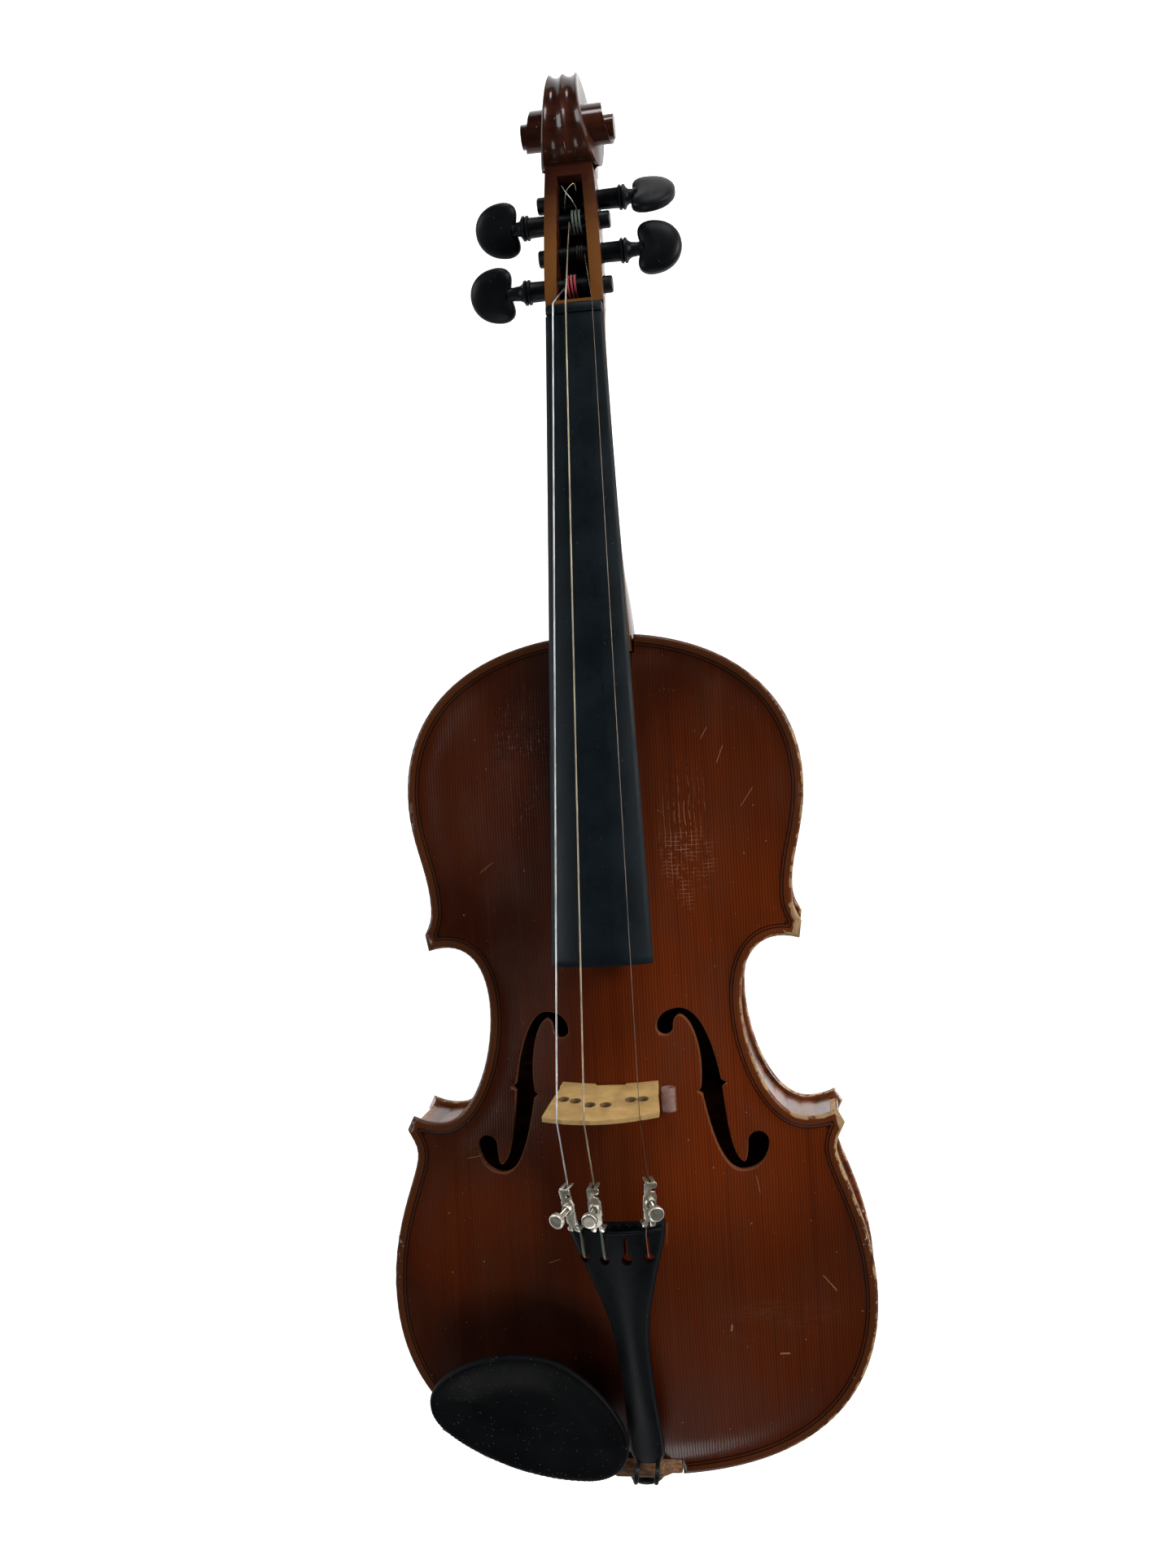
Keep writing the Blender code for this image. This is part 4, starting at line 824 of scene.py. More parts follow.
# Chips broken out of the belly's edge, as centre and half sizes in metres
CHIPS = ((0.0765, -0.0577, 0.0056, 0.0085), (0.0915, -0.1384, 0.0026, 0.007),
    (0.0955, -0.158, 0.002, 0.008), (-0.093, -0.145, 0.0016, 0.003))
# Painted pools of light, where the belly is drawn brighter and warmer: centre x and y, half sizes
# in x and y (metres), and strength
LIT_PLACES = ((0.04, -0.105, 0.085, 0.14, 1.0), (0.05, -0.015, 0.055, 0.07, 0.52),
    (0.03, -0.215, 0.085, 0.085, 0.55), (-0.055, 0.005, 0.045, 0.055, 0.3),
    (-0.06, -0.185, 0.045, 0.045, 0.42))


def varnish_spruce():
    s = Shader("varnished_spruce", Coat_Weight=0.10, Coat_Roughness=0.18, Specular_IOR_Level=0.10)
    ring = s.wave(262.0, 2.6, 0.3)
    ring_dark = s.ramp(ring, 0.25, 0.95)
    streak = s.noise((620, 7, 7), 3.0, 0.6)
    wide_streak = s.noise((420, 6, 6), 3.0, 0.65)
    broad = s.noise((9, 5, 9), 3.0, 0.6)
    cloud = s.noise((38, 22, 38), 4.0, 0.6)
    # Painted light: brighter, warmer pools where the lamps fall, plus a broad random tone, blend
    # the varnish from its dark to its bright colour.
    lit_pools = [s.times(blob(s, *place, 0.0), share) for *place, share in LIT_PLACES]
    light_and_tone = s.plus(largest(s, lit_pools), s.ramp(broad, 0.30, 0.75, -0.10, 0.20))
    colour = s.mix(light_and_tone, (0.0225, 0.0038, 0.0008), (0.098, 0.0150, 0.0018))
    colour = s.mix(s.ramp(cloud, 0.38, 0.72, 0.0, 0.35), colour, (0.040, 0.0125, 0.0042))
    colour = s.mix(s.times(ring_dark, 0.42), colour, (0.012, 0.0028, 0.0011))
    colour = s.mix(s.ramp(wide_streak, 0.48, 0.75, 0.0, 0.20), colour, (0.020, 0.0040, 0.0012))
    colour = s.mix(s.ramp(wide_streak, 0.44, 0.25, 0.0, 0.10), colour, (0.110, 0.025, 0.0045))
    colour = s.mix(s.ramp(streak, 0.50, 0.78, 0.0, 0.35), colour, (0.014, 0.0030, 0.0012))
    # Painted shade: a dark zone on the belly around the chin rest, standing in for the chin rest's
    # dark reflection in the varnish.
    rest = blob(s, -0.040, -0.249, 0.062, 0.047, 0.35)
    colour = s.mix(s.times(rest, 0.72), colour, (0.0055, 0.0013, 0.0008))
    # Painted shadow: a dark strip on the belly along the bass side of the fingerboard, where the
    # fingerboard and neck shade it.
    board = s.times(s.ramp(s.axis(0), -0.032, -0.020), s.ramp(s.axis(0), 0.004, -0.004))
    board = s.times(board, s.ramp(s.axis(1), -0.02, 0.01))
    colour = s.mix(s.times(board, 0.55), colour, (0.0065, 0.0018, 0.0012))
    edge = s.field("edge_mm")
    line_a = s.times(s.ramp(edge, 3.25, 3.5), s.ramp(edge, 4.05, 3.8))
    line_b = s.times(s.ramp(edge, 4.45, 4.65), s.ramp(edge, 5.15, 4.95))
    purfling = s.math("MAXIMUM", line_a, line_b)
    colour = s.mix(s.times(s.ramp(edge, 5.2, 3.2), 0.30), colour, (0.085, 0.030, 0.010))
    colour = s.mix(s.times(purfling, 0.9), colour, (0.0024, 0.0014, 0.0012))
    # Pale bare wood where the varnish is worn off the edge, broken up by noise; on the treble side
    # of the lower bout it reaches further and also paints the edge highlight.
    wear_noise = s.noise((210, 210, 210), 5.0, 0.68)
    long_noise = s.noise((60, 60, 60), 3.0, 0.6)
    place = s.times(s.ramp(s.axis(0), 0.02, 0.075), s.ramp(s.axis(1), 0.07, -0.06, 0.45, 1.0))
    reach = s.plus(0.40, s.times(place, 1.5))
    near = s.math("LESS_THAN", s.minus(edge, s.times(wear_noise, reach)), 0.10)
    broken = s.times(s.ramp(long_noise, 0.40, 0.60), 0.45)
    broken = s.plus(broken, s.times(place, 0.75))
    worn = s.times(near, s.math("MINIMUM", s.times(s.ramp(wear_noise, 0.44, 0.54), broken), 1.0))
    colour = s.mix(worn, colour, (0.235, 0.150, 0.072))
    chips = largest(s, [blob(s, *place, 0.6) for place in CHIPS])
    chip_wood = s.mix(s.noise((900, 40, 900)), (0.30, 0.205, 0.105), (0.13, 0.070, 0.032))
    chips = s.times(chips, s.ramp(s.plus(s.times(wear_noise, 4.6), s.times(edge, -1.0)), 0.05,
        0.35))
    colour = s.mix(chips, colour, chip_wood)
    hole = s.field("hole_mm")
    colour = s.mix(s.ramp(hole, 0.50, 0.08, 0.0, 0.55), colour, (0.13, 0.052, 0.024))
    dust = s.math("MAXIMUM", s.specks(210, 0.075, 0.13), s.specks(520, 0.10, 0.07))
    colour = s.mix(s.times(dust, 0.55), colour, (0.22, 0.16, 0.12))
    marks = scratches(s, MARKS)
    colour = s.mix(s.times(marks, 0.6), colour, (0.26, 0.14, 0.08))
    # Painted highlight: the ladder crackle in this area is drawn with pale lines, glints on real
    # cracks.
    glint_area = s.times(blob(s, 0.035, -0.021, 0.014, 0.036, 0.0),
        s.ramp(s.noise((110, 40, 60)), 0.36, 0.6))
    dark_net = s.times(blob(s, -0.031, 0.018, 0.018, 0.04, 0.1),
        s.ramp(s.noise((70, 60, 60)), 0.34, 0.52))
    flat_net = largest(s, [blob(s, 0.0622, -0.2223, 0.034, 0.012, 0.0),
        blob(s, -0.0628, -0.1527, 0.012, 0.01, 0.0)])
    flat_net = s.times(flat_net, s.ramp(s.noise((50, 90, 60)), 0.40, 0.62))
    glinting_cracks = ladder(s, glint_area)
    cracks_b = crackle(s, dark_net, (130, 520, 300), (520, 90, 200))
    cracks_c = crackle(s, flat_net, (90, 620, 300), (60, 480, 200))
    colour = s.mix(s.times(glinting_cracks, 0.42), colour, (0.36, 0.17, 0.095))
    colour = s.mix(s.times(cracks_b, 0.45), colour, (0.0045, 0.0016, 0.0012))
    colour = s.mix(s.times(cracks_c, 0.20), colour, (0.10, 0.042, 0.022))
    cracks = s.minus(s.times(cracks_c, 0.3), s.times(cracks_b, 0.25))
    cracks = s.plus(glinting_cracks, cracks)
    normal = s.bump(s.plus(s.times(ring, 0.6), streak), 0.30, 0.00018)
    normal = s.bump(s.noise((140, 60, 140), 5.0, 0.6), 0.18, 0.00025, normal)
    relief = s.minus(cracks, s.times(chips, 1.5))
    normal = s.bump(relief, 0.55, 0.00020, normal)
    rough = s.plus(s.ramp(cloud, 0.3, 0.7, 0.3, 0.4),
        s.times(s.math("MAXIMUM", worn, chips), 0.35))
    return s.done(colour, rough, normal)


def varnish_maple(name, dark, light, flame, flame_scale, coat=0.3, spec=0.2):
    """Varnished maple: fine pores along y and a flame across it."""
    s = Shader(name, Coat_Weight=coat, Coat_Roughness=0.10, Specular_IOR_Level=spec)
    stripe = s.noise(flame_scale, 3.0, 0.6)
    cloud = s.noise((26, 26, 26), 4.0, 0.6)
    pores = s.noise((900, 34, 900), 3.0, 0.7)
    colour = s.mix(s.ramp(cloud, 0.25, 0.75), dark, light)
    colour = s.mix(s.ramp(stripe, 0.42, 0.62, 0.0, flame), colour, tuple(1.9 * c for c in light))
    colour = s.mix(s.ramp(pores, 0.56, 0.70, 0.0, 0.45), colour, tuple(0.35 * c for c in dark))
    dust = s.specks(330, 0.11, 0.10)
    colour = s.mix(s.times(dust, 0.5), colour, (0.30, 0.24, 0.19))
    normal = s.bump(pores, 0.12, 0.0001)
    normal = s.bump(s.noise((120, 120, 120), 4.0), 0.2, 0.00025, normal)
    return s, colour, s.ramp(cloud, 0.3, 0.7, 0.22, 0.36), normal


def back_maple():
    dark, light = (0.030, 0.0065, 0.0022), (0.085, 0.022, 0.006)
    s, colour, rough, normal = varnish_maple("varnished_back", dark, light, 0.5, (14, 190, 14))
    edge = s.field("edge_mm")
    line = s.times(s.ramp(edge, 3.4, 3.6), s.ramp(edge, 4.9, 4.7))
    colour = s.mix(s.times(line, 0.8), colour, (0.006, 0.004, 0.003))
    wear = s.noise((230, 230, 230), 5.0, 0.7)
    near = s.math("LESS_THAN", s.minus(edge, wear), 0.05)
    worn = s.times(near, s.ramp(wear, 0.46, 0.58))
    colour = s.mix(worn, colour, (0.30, 0.19, 0.10))
    scratch = s.cells((18, 90, 18), "DISTANCE_TO_EDGE").outputs["Distance"]
    colour = s.mix(s.ramp(scratch, 0.012, 0.0, 0.0, 0.25), colour, (0.25, 0.15, 0.08))
    return s.done(colour, rough, normal)


def rib_maple():
    dark, light = (0.034, 0.0075, 0.0025), (0.080, 0.021, 0.006)
    s, colour, rough, normal = varnish_maple("varnished_ribs", dark, light, 0.5, (150, 150, 12))
    return s.done(colour, rough, normal)


def neck_maple():
    dark, light = (0.011, 0.0032, 0.0020), (0.029, 0.0078, 0.0040)
    s, colour, rough, normal = varnish_maple("varnished_neck", dark, light, 0.35, (24, 170, 24),
        0.2, 0.06)
    up = s.ramp(s.facing_up(), 0.55, 0.9)
    along = s.times(s.ramp(s.axis(1), 0.262, 0.222), s.ramp(s.axis(2), 0.034, 0.040))
    gold = s.times(s.times(up, along), 0.85)
    colour = s.mix(gold, colour, (0.110, 0.043, 0.011))
    hand = s.times(s.ramp(s.axis(1), 0.197, 0.17), s.ramp(s.axis(1), 0.085, 0.11))
    colour = s.mix(s.times(hand, 0.6), colour, (0.17, 0.075, 0.030))
    return s.done(colour, rough, normal)


def plain_wood(name, dark, light, along=(40, 900, 900)):
    s = Shader(name, Specular_IOR_Level=0.3)
    fibre = s.noise(along, 4.0, 0.65)
    colour = s.mix(s.ramp(fibre, 0.3, 0.75), dark, light)
    return s.done(colour, 0.75, s.bump(fibre, 0.3, 0.0001))


def bridge_maple():
    """Pale maple with the flecks of its medullary rays."""
    s = Shader("bridge_maple", Specular_IOR_Level=0.35)
    grain = s.noise((120, 700, 2600), 4.0, 0.6)
    fleck = s.cells((300, 900, 1500)).outputs["Distance"]
    cloud = s.noise((120, 120, 120), 3.0)
    colour = s.mix(s.ramp(cloud, 0.25, 0.75), (0.225, 0.138, 0.046), (0.34, 0.215, 0.078))
    colour = s.mix(s.ramp(grain, 0.48, 0.72, 0.0, 0.5), colour, (0.19, 0.105, 0.035))
    colour = s.mix(s.ramp(fleck, 0.22, 0.12, 0.0, 0.6), colour, (0.13, 0.065, 0.022))
    # Painted shade: the walls inside the drilled holes are darkened.
    wall = s.node("VectorMath", operation="DOT_PRODUCT")
    s.tree.links.new(s.node("NewGeometry").outputs["Normal"], wall.inputs[0])
    wall.inputs[1].default_value = bridge_frame()[:, 2]
    off = s.math("ABSOLUTE", s.minus(s.axis(0), BRIDGE_FOOT[0] / 1000))
    hole = s.times(s.ramp(s.math("ABSOLUTE", wall.outputs["Value"]), 0.85, 0.4),
        s.ramp(off, 0.0206, 0.0202))
    hole = s.times(hole, s.times(s.ramp(s.axis(2), 0.070, 0.071), s.ramp(s.axis(2), 0.086, 0.085)))
    colour = s.mix(s.times(hole, 0.85), colour, (0.055, 0.026, 0.009))
    return s.done(colour, 0.6, s.bump(grain, 0.25, 0.0001))


def black_wood(name, colour, roughness, along, spec=0.16, dust_amount=0.25):
    """Dyed hardwood: open pores along the grain, scuffs and a little dust."""
    s = Shader(name, Specular_IOR_Level=spec)
    pores = s.noise(along, 4.0, 0.7)
    cloud = s.noise((45, 45, 45), 4.0, 0.6)
    lighter = tuple(2.1 * c for c in colour)
    found = s.mix(s.ramp(cloud, 0.3, 0.75, 0.0, 0.6), colour, lighter)
    found = s.mix(s.ramp(pores, 0.56, 0.72, 0.0, 0.7), found, tuple(0.35 * c for c in colour))
    dust = s.math("MAXIMUM", s.specks(420, 0.10, 0.12), s.specks(900, 0.13, 0.07))
    found = s.mix(s.times(dust, dust_amount), found, (0.22, 0.21, 0.20))
    rough = s.plus(s.ramp(cloud, 0.3, 0.7, roughness - 0.05, roughness + 0.08), 0.0)
    return s.done(found, rough, s.bump(pores, 0.25, 0.00012))


def dull_black():
    """Moulded black plastic with a fine pebble and dust."""
    s = Shader("matte_black", Specular_IOR_Level=0.05)
    pebble = s.noise((1500, 1500, 1500), 2.0, 0.5)
    cloud = s.noise((55, 40, 55), 4.0, 0.6)
    colour = s.mix(s.ramp(cloud, 0.3, 0.75), (0.0007, 0.0009, 0.0012), (0.0015, 0.0018, 0.0023))
    dust = s.math("MAXIMUM", s.specks(420, 0.07, 0.22), s.specks(1100, 0.13, 0.20))
    dust = s.math("MAXIMUM", dust, s.specks(170, 0.035, 0.25))
    colour = s.mix(s.times(dust, 0.8), colour, (0.20, 0.19, 0.18))
    return s.done(colour, s.ramp(cloud, 0.3, 0.7, 0.50, 0.62), s.bump(pebble, 0.35, 0.00008))


def nickel():
    s = Shader("nickel", Metallic=1.0)
    cloud = s.noise((420, 420, 420), 5.0, 0.65)
    brush = s.noise((3000, 200, 3000), 3.0, 0.6)
    colour = s.mix(s.ramp(cloud, 0.35, 0.72), (0.52, 0.49, 0.42), (0.34, 0.315, 0.265))
    spots = s.specks(1600, 0.16, 0.14)
    colour = s.mix(s.times(spots, 0.5), colour, (0.12, 0.10, 0.08))
    rough = s.ramp(cloud, 0.3, 0.7, 0.30, 0.46)
    return s.done(colour, rough, s.bump(brush, 0.12, 0.00004))


def metal_string(name, colour, roughness, winding=None):
    s = Shader(name, Metallic=1.0)
    cloud = s.noise((300, 60, 300), 3.0)
    found = s.mix(s.ramp(cloud, 0.35, 0.7), colour, tuple(0.6 * c for c in colour))
    normal = None
    if winding:
        normal = s.bump(s.wave(winding, 0.0, direction="Y"), 0.5, 0.00006)
    return s.done(found, roughness, normal)


def silk(name, colour):
    s = Shader(name, Specular_IOR_Level=0.3, Sheen_Weight=0.4)
    twist = s.wave(900.0, 3.0, direction="DIAGONAL")
    found = s.mix(s.ramp(twist, 0.3, 0.8), colour, tuple(0.45 * c for c in colour))
    return s.done(found, 0.6, s.bump(twist, 0.5, 0.0001))


def cork():
    s = Shader("cork", Specular_IOR_Level=0.2)
    cell = s.cells((700, 700, 700)).outputs["Distance"]
    cloud = s.noise((260, 260, 260), 4.0)
    colour = s.mix(s.ramp(cloud, 0.3, 0.7), (0.20, 0.11, 0.052), (0.34, 0.20, 0.105))
    colour = s.mix(s.ramp(cell, 0.55, 0.8, 0.0, 0.6), colour, (0.07, 0.035, 0.017))
    return s.done(colour, 0.9, s.bump(cell, 0.5, 0.0002))


def clear_tube():
    s = Shader("clear_sleeve", Transmission_Weight=0.75, Roughness=0.18, IOR=1.35, Alpha=0.55)
    cloud = s.noise((500, 500, 500), 3.0)
    colour = s.mix(s.ramp(cloud, 0.3, 0.7), (0.50, 0.33, 0.29), (0.66, 0.49, 0.45))
    return s.done(colour, None, s.bump(cloud, 0.2, 0.0002))


SPRUCE = varnish_spruce()
BACK = back_maple()
RIBS = rib_maple()
NECK = neck_maple()
BARE = plain_wood("bare_spruce", (0.30, 0.185, 0.095), (0.46, 0.31, 0.17))
BRIDGE = bridge_maple()
SADDLE = plain_wood("worn_saddle", (0.045, 0.020, 0.009), (0.20, 0.095, 0.040), (300, 900, 900))
BOARD = black_wood("fingerboard_black", (0.0017, 0.0036, 0.0050), 0.45, (900, 14, 900), 0.08)
FITTINGS = black_wood("fitting_black", (0.0012, 0.0016, 0.0023), 0.42, (500, 160, 500), 0.09)
BLACK = dull_black()
NICKEL = nickel()
SILVER = metal_string("silver_winding", (0.46, 0.47, 0.48), 0.30, 1250.0)
GOLD = metal_string("pale_winding", (0.32, 0.27, 0.19), 0.32, 1250.0)
STEEL = metal_string("steel", (0.13, 0.10, 0.085), 0.35)
RED_SILK = silk("red_silk", (0.42, 0.012, 0.030))
GREEN_SILK = silk("green_silk", (0.012, 0.060, 0.044))
DARK_SILK = silk("dark_red_silk", (0.11, 0.005, 0.009))
PALE_SILK = silk("pale_silk", (0.22, 0.30, 0.24))
CORK = cork()
CLEAR = clear_tube()


# Body


def edge_rings(outline, line, depths):
    rings = []
    for depth in depths:
        ring = offset(outline, depth)
        rings.append(ring[nearest(ring, line) > depth - 0.04])
    return np.vstack(rings)


def apart(points, spacing):
    """Drops points that fall closer than spacing to an earlier one."""
    kept, cells = [], {}
    for point in points:
        key = (int(point[0] // spacing), int(point[1] // spacing))
        close = False
        for i in (-1, 0, 1):
            for j in (-1, 0, 1):
                for other in cells.get((key[0] + i, key[1] + j), ()):
                    close |= (other[0] - point[0]) ** 2 + (other[1] - point[1]) ** 2 < spacing**2
        if not close:
            kept.append(point)
            cells.setdefault(key, []).append(point)
    return np.array(kept)


def plate_points(spacing):
    line = OUTLINE_LINE
    outline = full_outline(4.0)
    rings = edge_rings(outline, line, (0.35, 0.8, 1.4, 2.2, 3.4, 4.2, 5.0, 6.4, 8.4, 10.8, 13.5))
    grid = []
    for k, y in enumerate(np.arange(2, BODY_LENGTH, spacing * 0.87)):
        for x in np.arange(-102 + (k % 2) * spacing * 0.5, 102, spacing):
            grid.append((x, y))
    grid = np.array(grid)
    grid = grid[inside(grid, full_outline()) & (nearest(grid, line) > 15.0)]
    return np.vstack([rings, grid])


def edge_round(depth, radius):
    """How far a rounded edge falls below the surface at a given depth."""
    left = np.clip(radius - depth, 0.0, radius)
    return radius - np.sqrt(np.maximum(radius**2 - left**2, 0.0))


def belly():
    holes = [f_hole(1, 4.0), f_hole(-1, 4.0)]
    outline = belly_outline(4.0)
    closed = np.vstack([outline, outline[:1]])
    loops = [np.vstack([hole, hole[:1]]) for hole in holes]
    extra = [plate_points(3.0)]
    for loop in loops:
        for depth in (-0.3, -0.7, 0.3, 0.7):
            ring = offset(loop, depth)
            extra.append(ring[nearest(ring, loop) > abs(depth) - 0.04])
    extra = apart(np.vstack(extra[1:] + extra[:1]), 0.28)
    keep = inside(extra, outline) & (nearest(extra, closed) > 0.28)
    for hole, loop in zip(holes, loops):
        keep &= ~inside(extra, hole) & (nearest(extra, loop) > 0.22)
    extra = extra[keep]

    def fields(flat):
        return nearest(flat, OUTLINE_LINE), np.minimum(*(nearest(flat, loop) for loop in loops))

    def upper(flat):
        depth, hole = fields(flat)
        z = plate_outer(flat, BELLY_ARCH) - EDGE
        z -= edge_round(depth, 1.5) + edge_round(hole, 0.45)
        return np.column_stack([flat, z])

    def lower(flat):
        depth, _ = fields(flat)
        z = plate_inner(flat, BELLY_ARCH) - EDGE + edge_round(depth, 1.5)
        return np.column_stack([flat, z])

    solid = slab(outline, holes, extra, lower, upper)
    obj = raw("belly", solid)
    depth, hole = fields(solid[0][:, :2])
    put_field(obj, "edge_mm", depth)
    put_field(obj, "hole_mm", hole)
    finish(obj, SPRUCE, stands_for="top_plate")


def back():
    outline = back_outline(4.0)
    closed = np.vstack([outline, outline[:1]])
    extra = apart(plate_points(3.2), 0.28)
    extra = extra[inside(extra, outline) & (nearest(extra, closed) > 0.28)]

    def upper(flat):
        depth = nearest(flat, closed)
        z = BACK_PLANE - plate_inner(flat, BACK_ARCH) - edge_round(depth, 1.5)
        return np.column_stack([flat, z])

    def lower(flat):
        depth = nearest(flat, closed)
        z = BACK_PLANE - plate_outer(flat, BACK_ARCH) + edge_round(depth, 1.5)
        return np.column_stack([flat, z])

    solid = slab(outline, [], extra, upper, lower)
    obj = raw("back", solid)
    put_field(obj, "edge_mm", nearest(solid[0][:, :2], OUTLINE_LINE))
    finish(obj, BACK, stands_for="back_plate")


# Neck and fingerboard


def neck_body():
    stations = [345.8, *np.linspace(349, 404, 24), *np.linspace(412, 478, 12), 482, 486, 491.5]
    sections = [neck_section(y, board_edge(y) - 5.3, 32) for y in stations]
    for y in np.linspace(492.0, 556, 24):
        sections.append(neck_section(y, float(through(y, CHEEK_TOP)), 32))
    return loft(sections)


# Keeps the finer volute inside the solid one's outline
RIM_INSET = 0.1


def scroll_body(per_turn, across):
    """The volute with two flutes and a ridge between them on its rim."""
    theta = np.linspace(-180, 1080, round(3.5 * per_turn) + 1)
    edge = through(theta, SCROLL_EDGE)
    wide = through(theta, SCROLL_WIDTH)
    turn = per_turn
    points, faces = [], []

    def at(k, width, dip=0.0):
        angle = radians(theta[k])
        reach = edge[k] - dip - RIM_INSET
        points.append((width, EYE[0] + reach * cos(angle), EYE[1] + reach * sin(angle)))
        return len(points) - 1

    shares = np.linspace(-1.0, 1.0, across)
    flute = np.sin(pi * np.clip((np.abs(shares) - 0.04) / 0.86, 0, 1)) ** 0.8
    flute += 0.55 * ease(np.abs(shares), 0.92, 1.0)
    rim = []
    for k in range(turn + 1):
        deep = 1.5 * float(ease(theta[k], -158, -95) * (1.0 - 0.4 * ease(theta[k], 120, 180)))
        rim.append([at(k, share * wide[k], deep * cut) for share, cut in zip(shares, flute)])
    for a, b in zip(rim, rim[1:] + rim[:1]):
        faces += [(a[i], b[i], b[i + 1], a[i + 1]) for i in range(across - 1)]
    last = len(theta) - 1
    for side in (1, -1):
        top = {k: rim[k][across - 1 if side > 0 else 0] for k in range(turn + 1)}
        base = {}
        for k in range(turn, last):
            base[k] = at(k, side * wide[k - turn])
            if k > turn:
                top[k] = at(k, side * wide[k])
        top[last] = base[last] = top[last - turn]
        found = [(top[turn], top[0], base[turn])]
        for k in range(last - turn):
            found.append((top[k], top[k + 1], base[k + 1 + turn], base[k + turn]))
        for k in range(turn, last):
            found.append((base[k], base[k + 1], top[k + 1], top[k]))
        found.append(tuple(top[k] for k in range(last - turn, last)))
        found = [tuple(dict.fromkeys(face)) for face in found]
        faces += found if side > 0 else [face[::-1] for face in found]
    return np.array(points), faces


def neck_piece():
    obj = raw("neck_and_scroll", neck_body())
    combine(obj, raw("volute", scroll_body(96, 25)), "UNION")
    sections = []
    for y, half, low in PEGBOX:
        section = [(-half, y, 20), (half, y, 20), (half * 0.9, y, low), (-half * 0.9, y, low)]
        sections.append(np.array(section))
    combine(obj, raw("cavity", loft([s[::-1] for s in sections])), "DIFFERENCE")
    for y, z, side in PEGS.values():
        bore = turned([(3.95, -20.0), (4.65, 20.0)], 48, (0, y, z), "x", MIRROR[side])
        combine(obj, raw("bore", bore), "DIFFERENCE")
    rounded(obj, 0.45, 2, 50.0)
    finish(obj, NECK, stands_for="neck", sharp=45.0)


def board_piece():
    start = BOARD_END - BOARD_LENGTH
    sections = []
    for y in (start, start + 0.4, start + 1.2, start + 3, *np.linspace(226, 346, 14), 348, 352,
              *np.linspace(360, BOARD_END - 1, 12), BOARD_END):
        half = board_half_width(y)
        edge = board_edge(y)
        sagitta = sqrt(BOARD_RADIUS**2 - half**2)
        xs = np.linspace(half, -half, 41)
        crown = edge - 0.6 + np.sqrt(BOARD_RADIUS**2 - xs**2) - sagitta
        crown -= 0.5 * (1 - ease(half - np.abs(xs), 0.0, 0.9))
        crown -= 0.5 * (1 - float(ease(y - start, 0.0, 1.2)))
        deep = 4.2 if y < 348 else 5.0
        hollow = 3.4 if y < 348 else 0.0
        top = np.stack([xs, np.full(41, y), crown], axis=1)
        ux = np.linspace(-half + 0.4, half - 0.4, 21)
        curve = np.sqrt(np.maximum(1 - (ux / half) ** 2, 0.0))
        under = np.stack([ux, np.full(21, y), edge - deep + hollow * curve], axis=1)
        sections.append(np.vstack([top, under]))
    obj = raw("board", loft(sections))
    finish(obj, BOARD, stands_for="fingerboard", sharp=50.0)


def nut_piece():
    obj = rounded(copy_of("nut"), 0.3, 2)
    obj.name = "board_nut"
    finish(obj, BOARD, stands_for="nut")


def peg_pieces():
    for name, (y, z, side) in PEGS.items():
        tilt, reach = PEG_HEADS[name]
        profile = [(r, x) for r, x in PEG_PROFILE] + [(3.0, 24.0 + 0.5 * reach),
            (3.3, 26.4 + reach)]
        rows = smooth_rows(profile)
        peg = raw(f"peg_{name}_turned", turned(rows, 48, (0, y, z), "x", MIRROR[side]))
        points, faces = thumb_fine(tilt, reach)
        head = raw("head", (points @ MIRROR[side].T + np.array([0, y, z]), faces))
        combine(peg, head, "UNION")
        finish(peg, FITTINGS, body=f"peg_{name}", stands_for=f"peg_{name}", sharp=40.0)


def smooth_rows(profile):
    """The profile with its long curves filled in and its beads kept."""
    rows = []
    for (r0, x0), (r1, x1) in zip(profile, profile[1:]):
        rows.append((r0, x0))
        if x1 - x0 > 0.9:
            for t in (0.25, 0.5, 0.75):
                bow = -0.35 * sin(pi * t) if 22.5 < x0 < 30 else 0.0
                rows.append((r0 + t * (r1 - r0) + bow, x0 + t * (x1 - x0)))
    rows.append(profile[-1])
    return rows


def thumb_fine(turn_degrees, reach):
    """The flattened, rounded head of a peg."""
    half = chain(THUMB, 5.0) + np.array([reach, 0.0])
    loop = np.vstack([half, (half[::-1] * np.array([1.0, -1.0]))[1:-1]])
    line = np.vstack([loop, loop[:1]])
    centre = np.array([33.0 + reach, 0.0])
    inner = [centre + (loop - centre) * s for s in (0.985, 0.95, 0.9, 0.82, 0.7, 0.55, 0.38, 0.2)]
    inner = apart(np.vstack(inner + [[centre]]), 0.35)
    inner = inner[nearest(inner, line) > 0.12]

    def face(sign):
        def surface(flat):
            depth = nearest(flat, line)
            thick = 0.9 + 2.75 * np.sqrt(1 - (1 - np.clip(depth / 7.0, 0, 1)) ** 2)
            return np.column_stack([flat, sign * thick])

        return surface

    points, faces = slab(loop[::-1], [], inner, face(-1), face(1))
    spin = Matrix.Rotation(radians(turn_degrees), 3, "X")
    return points @ np.array(spin).T, faces


# Bridge, tailpiece, chin rest


# Radius and height of the drill through the bridge, widening at the near face
DRILL = [(2.4, -4.0), (2.4, 1.2), (2.9, 2.6)]


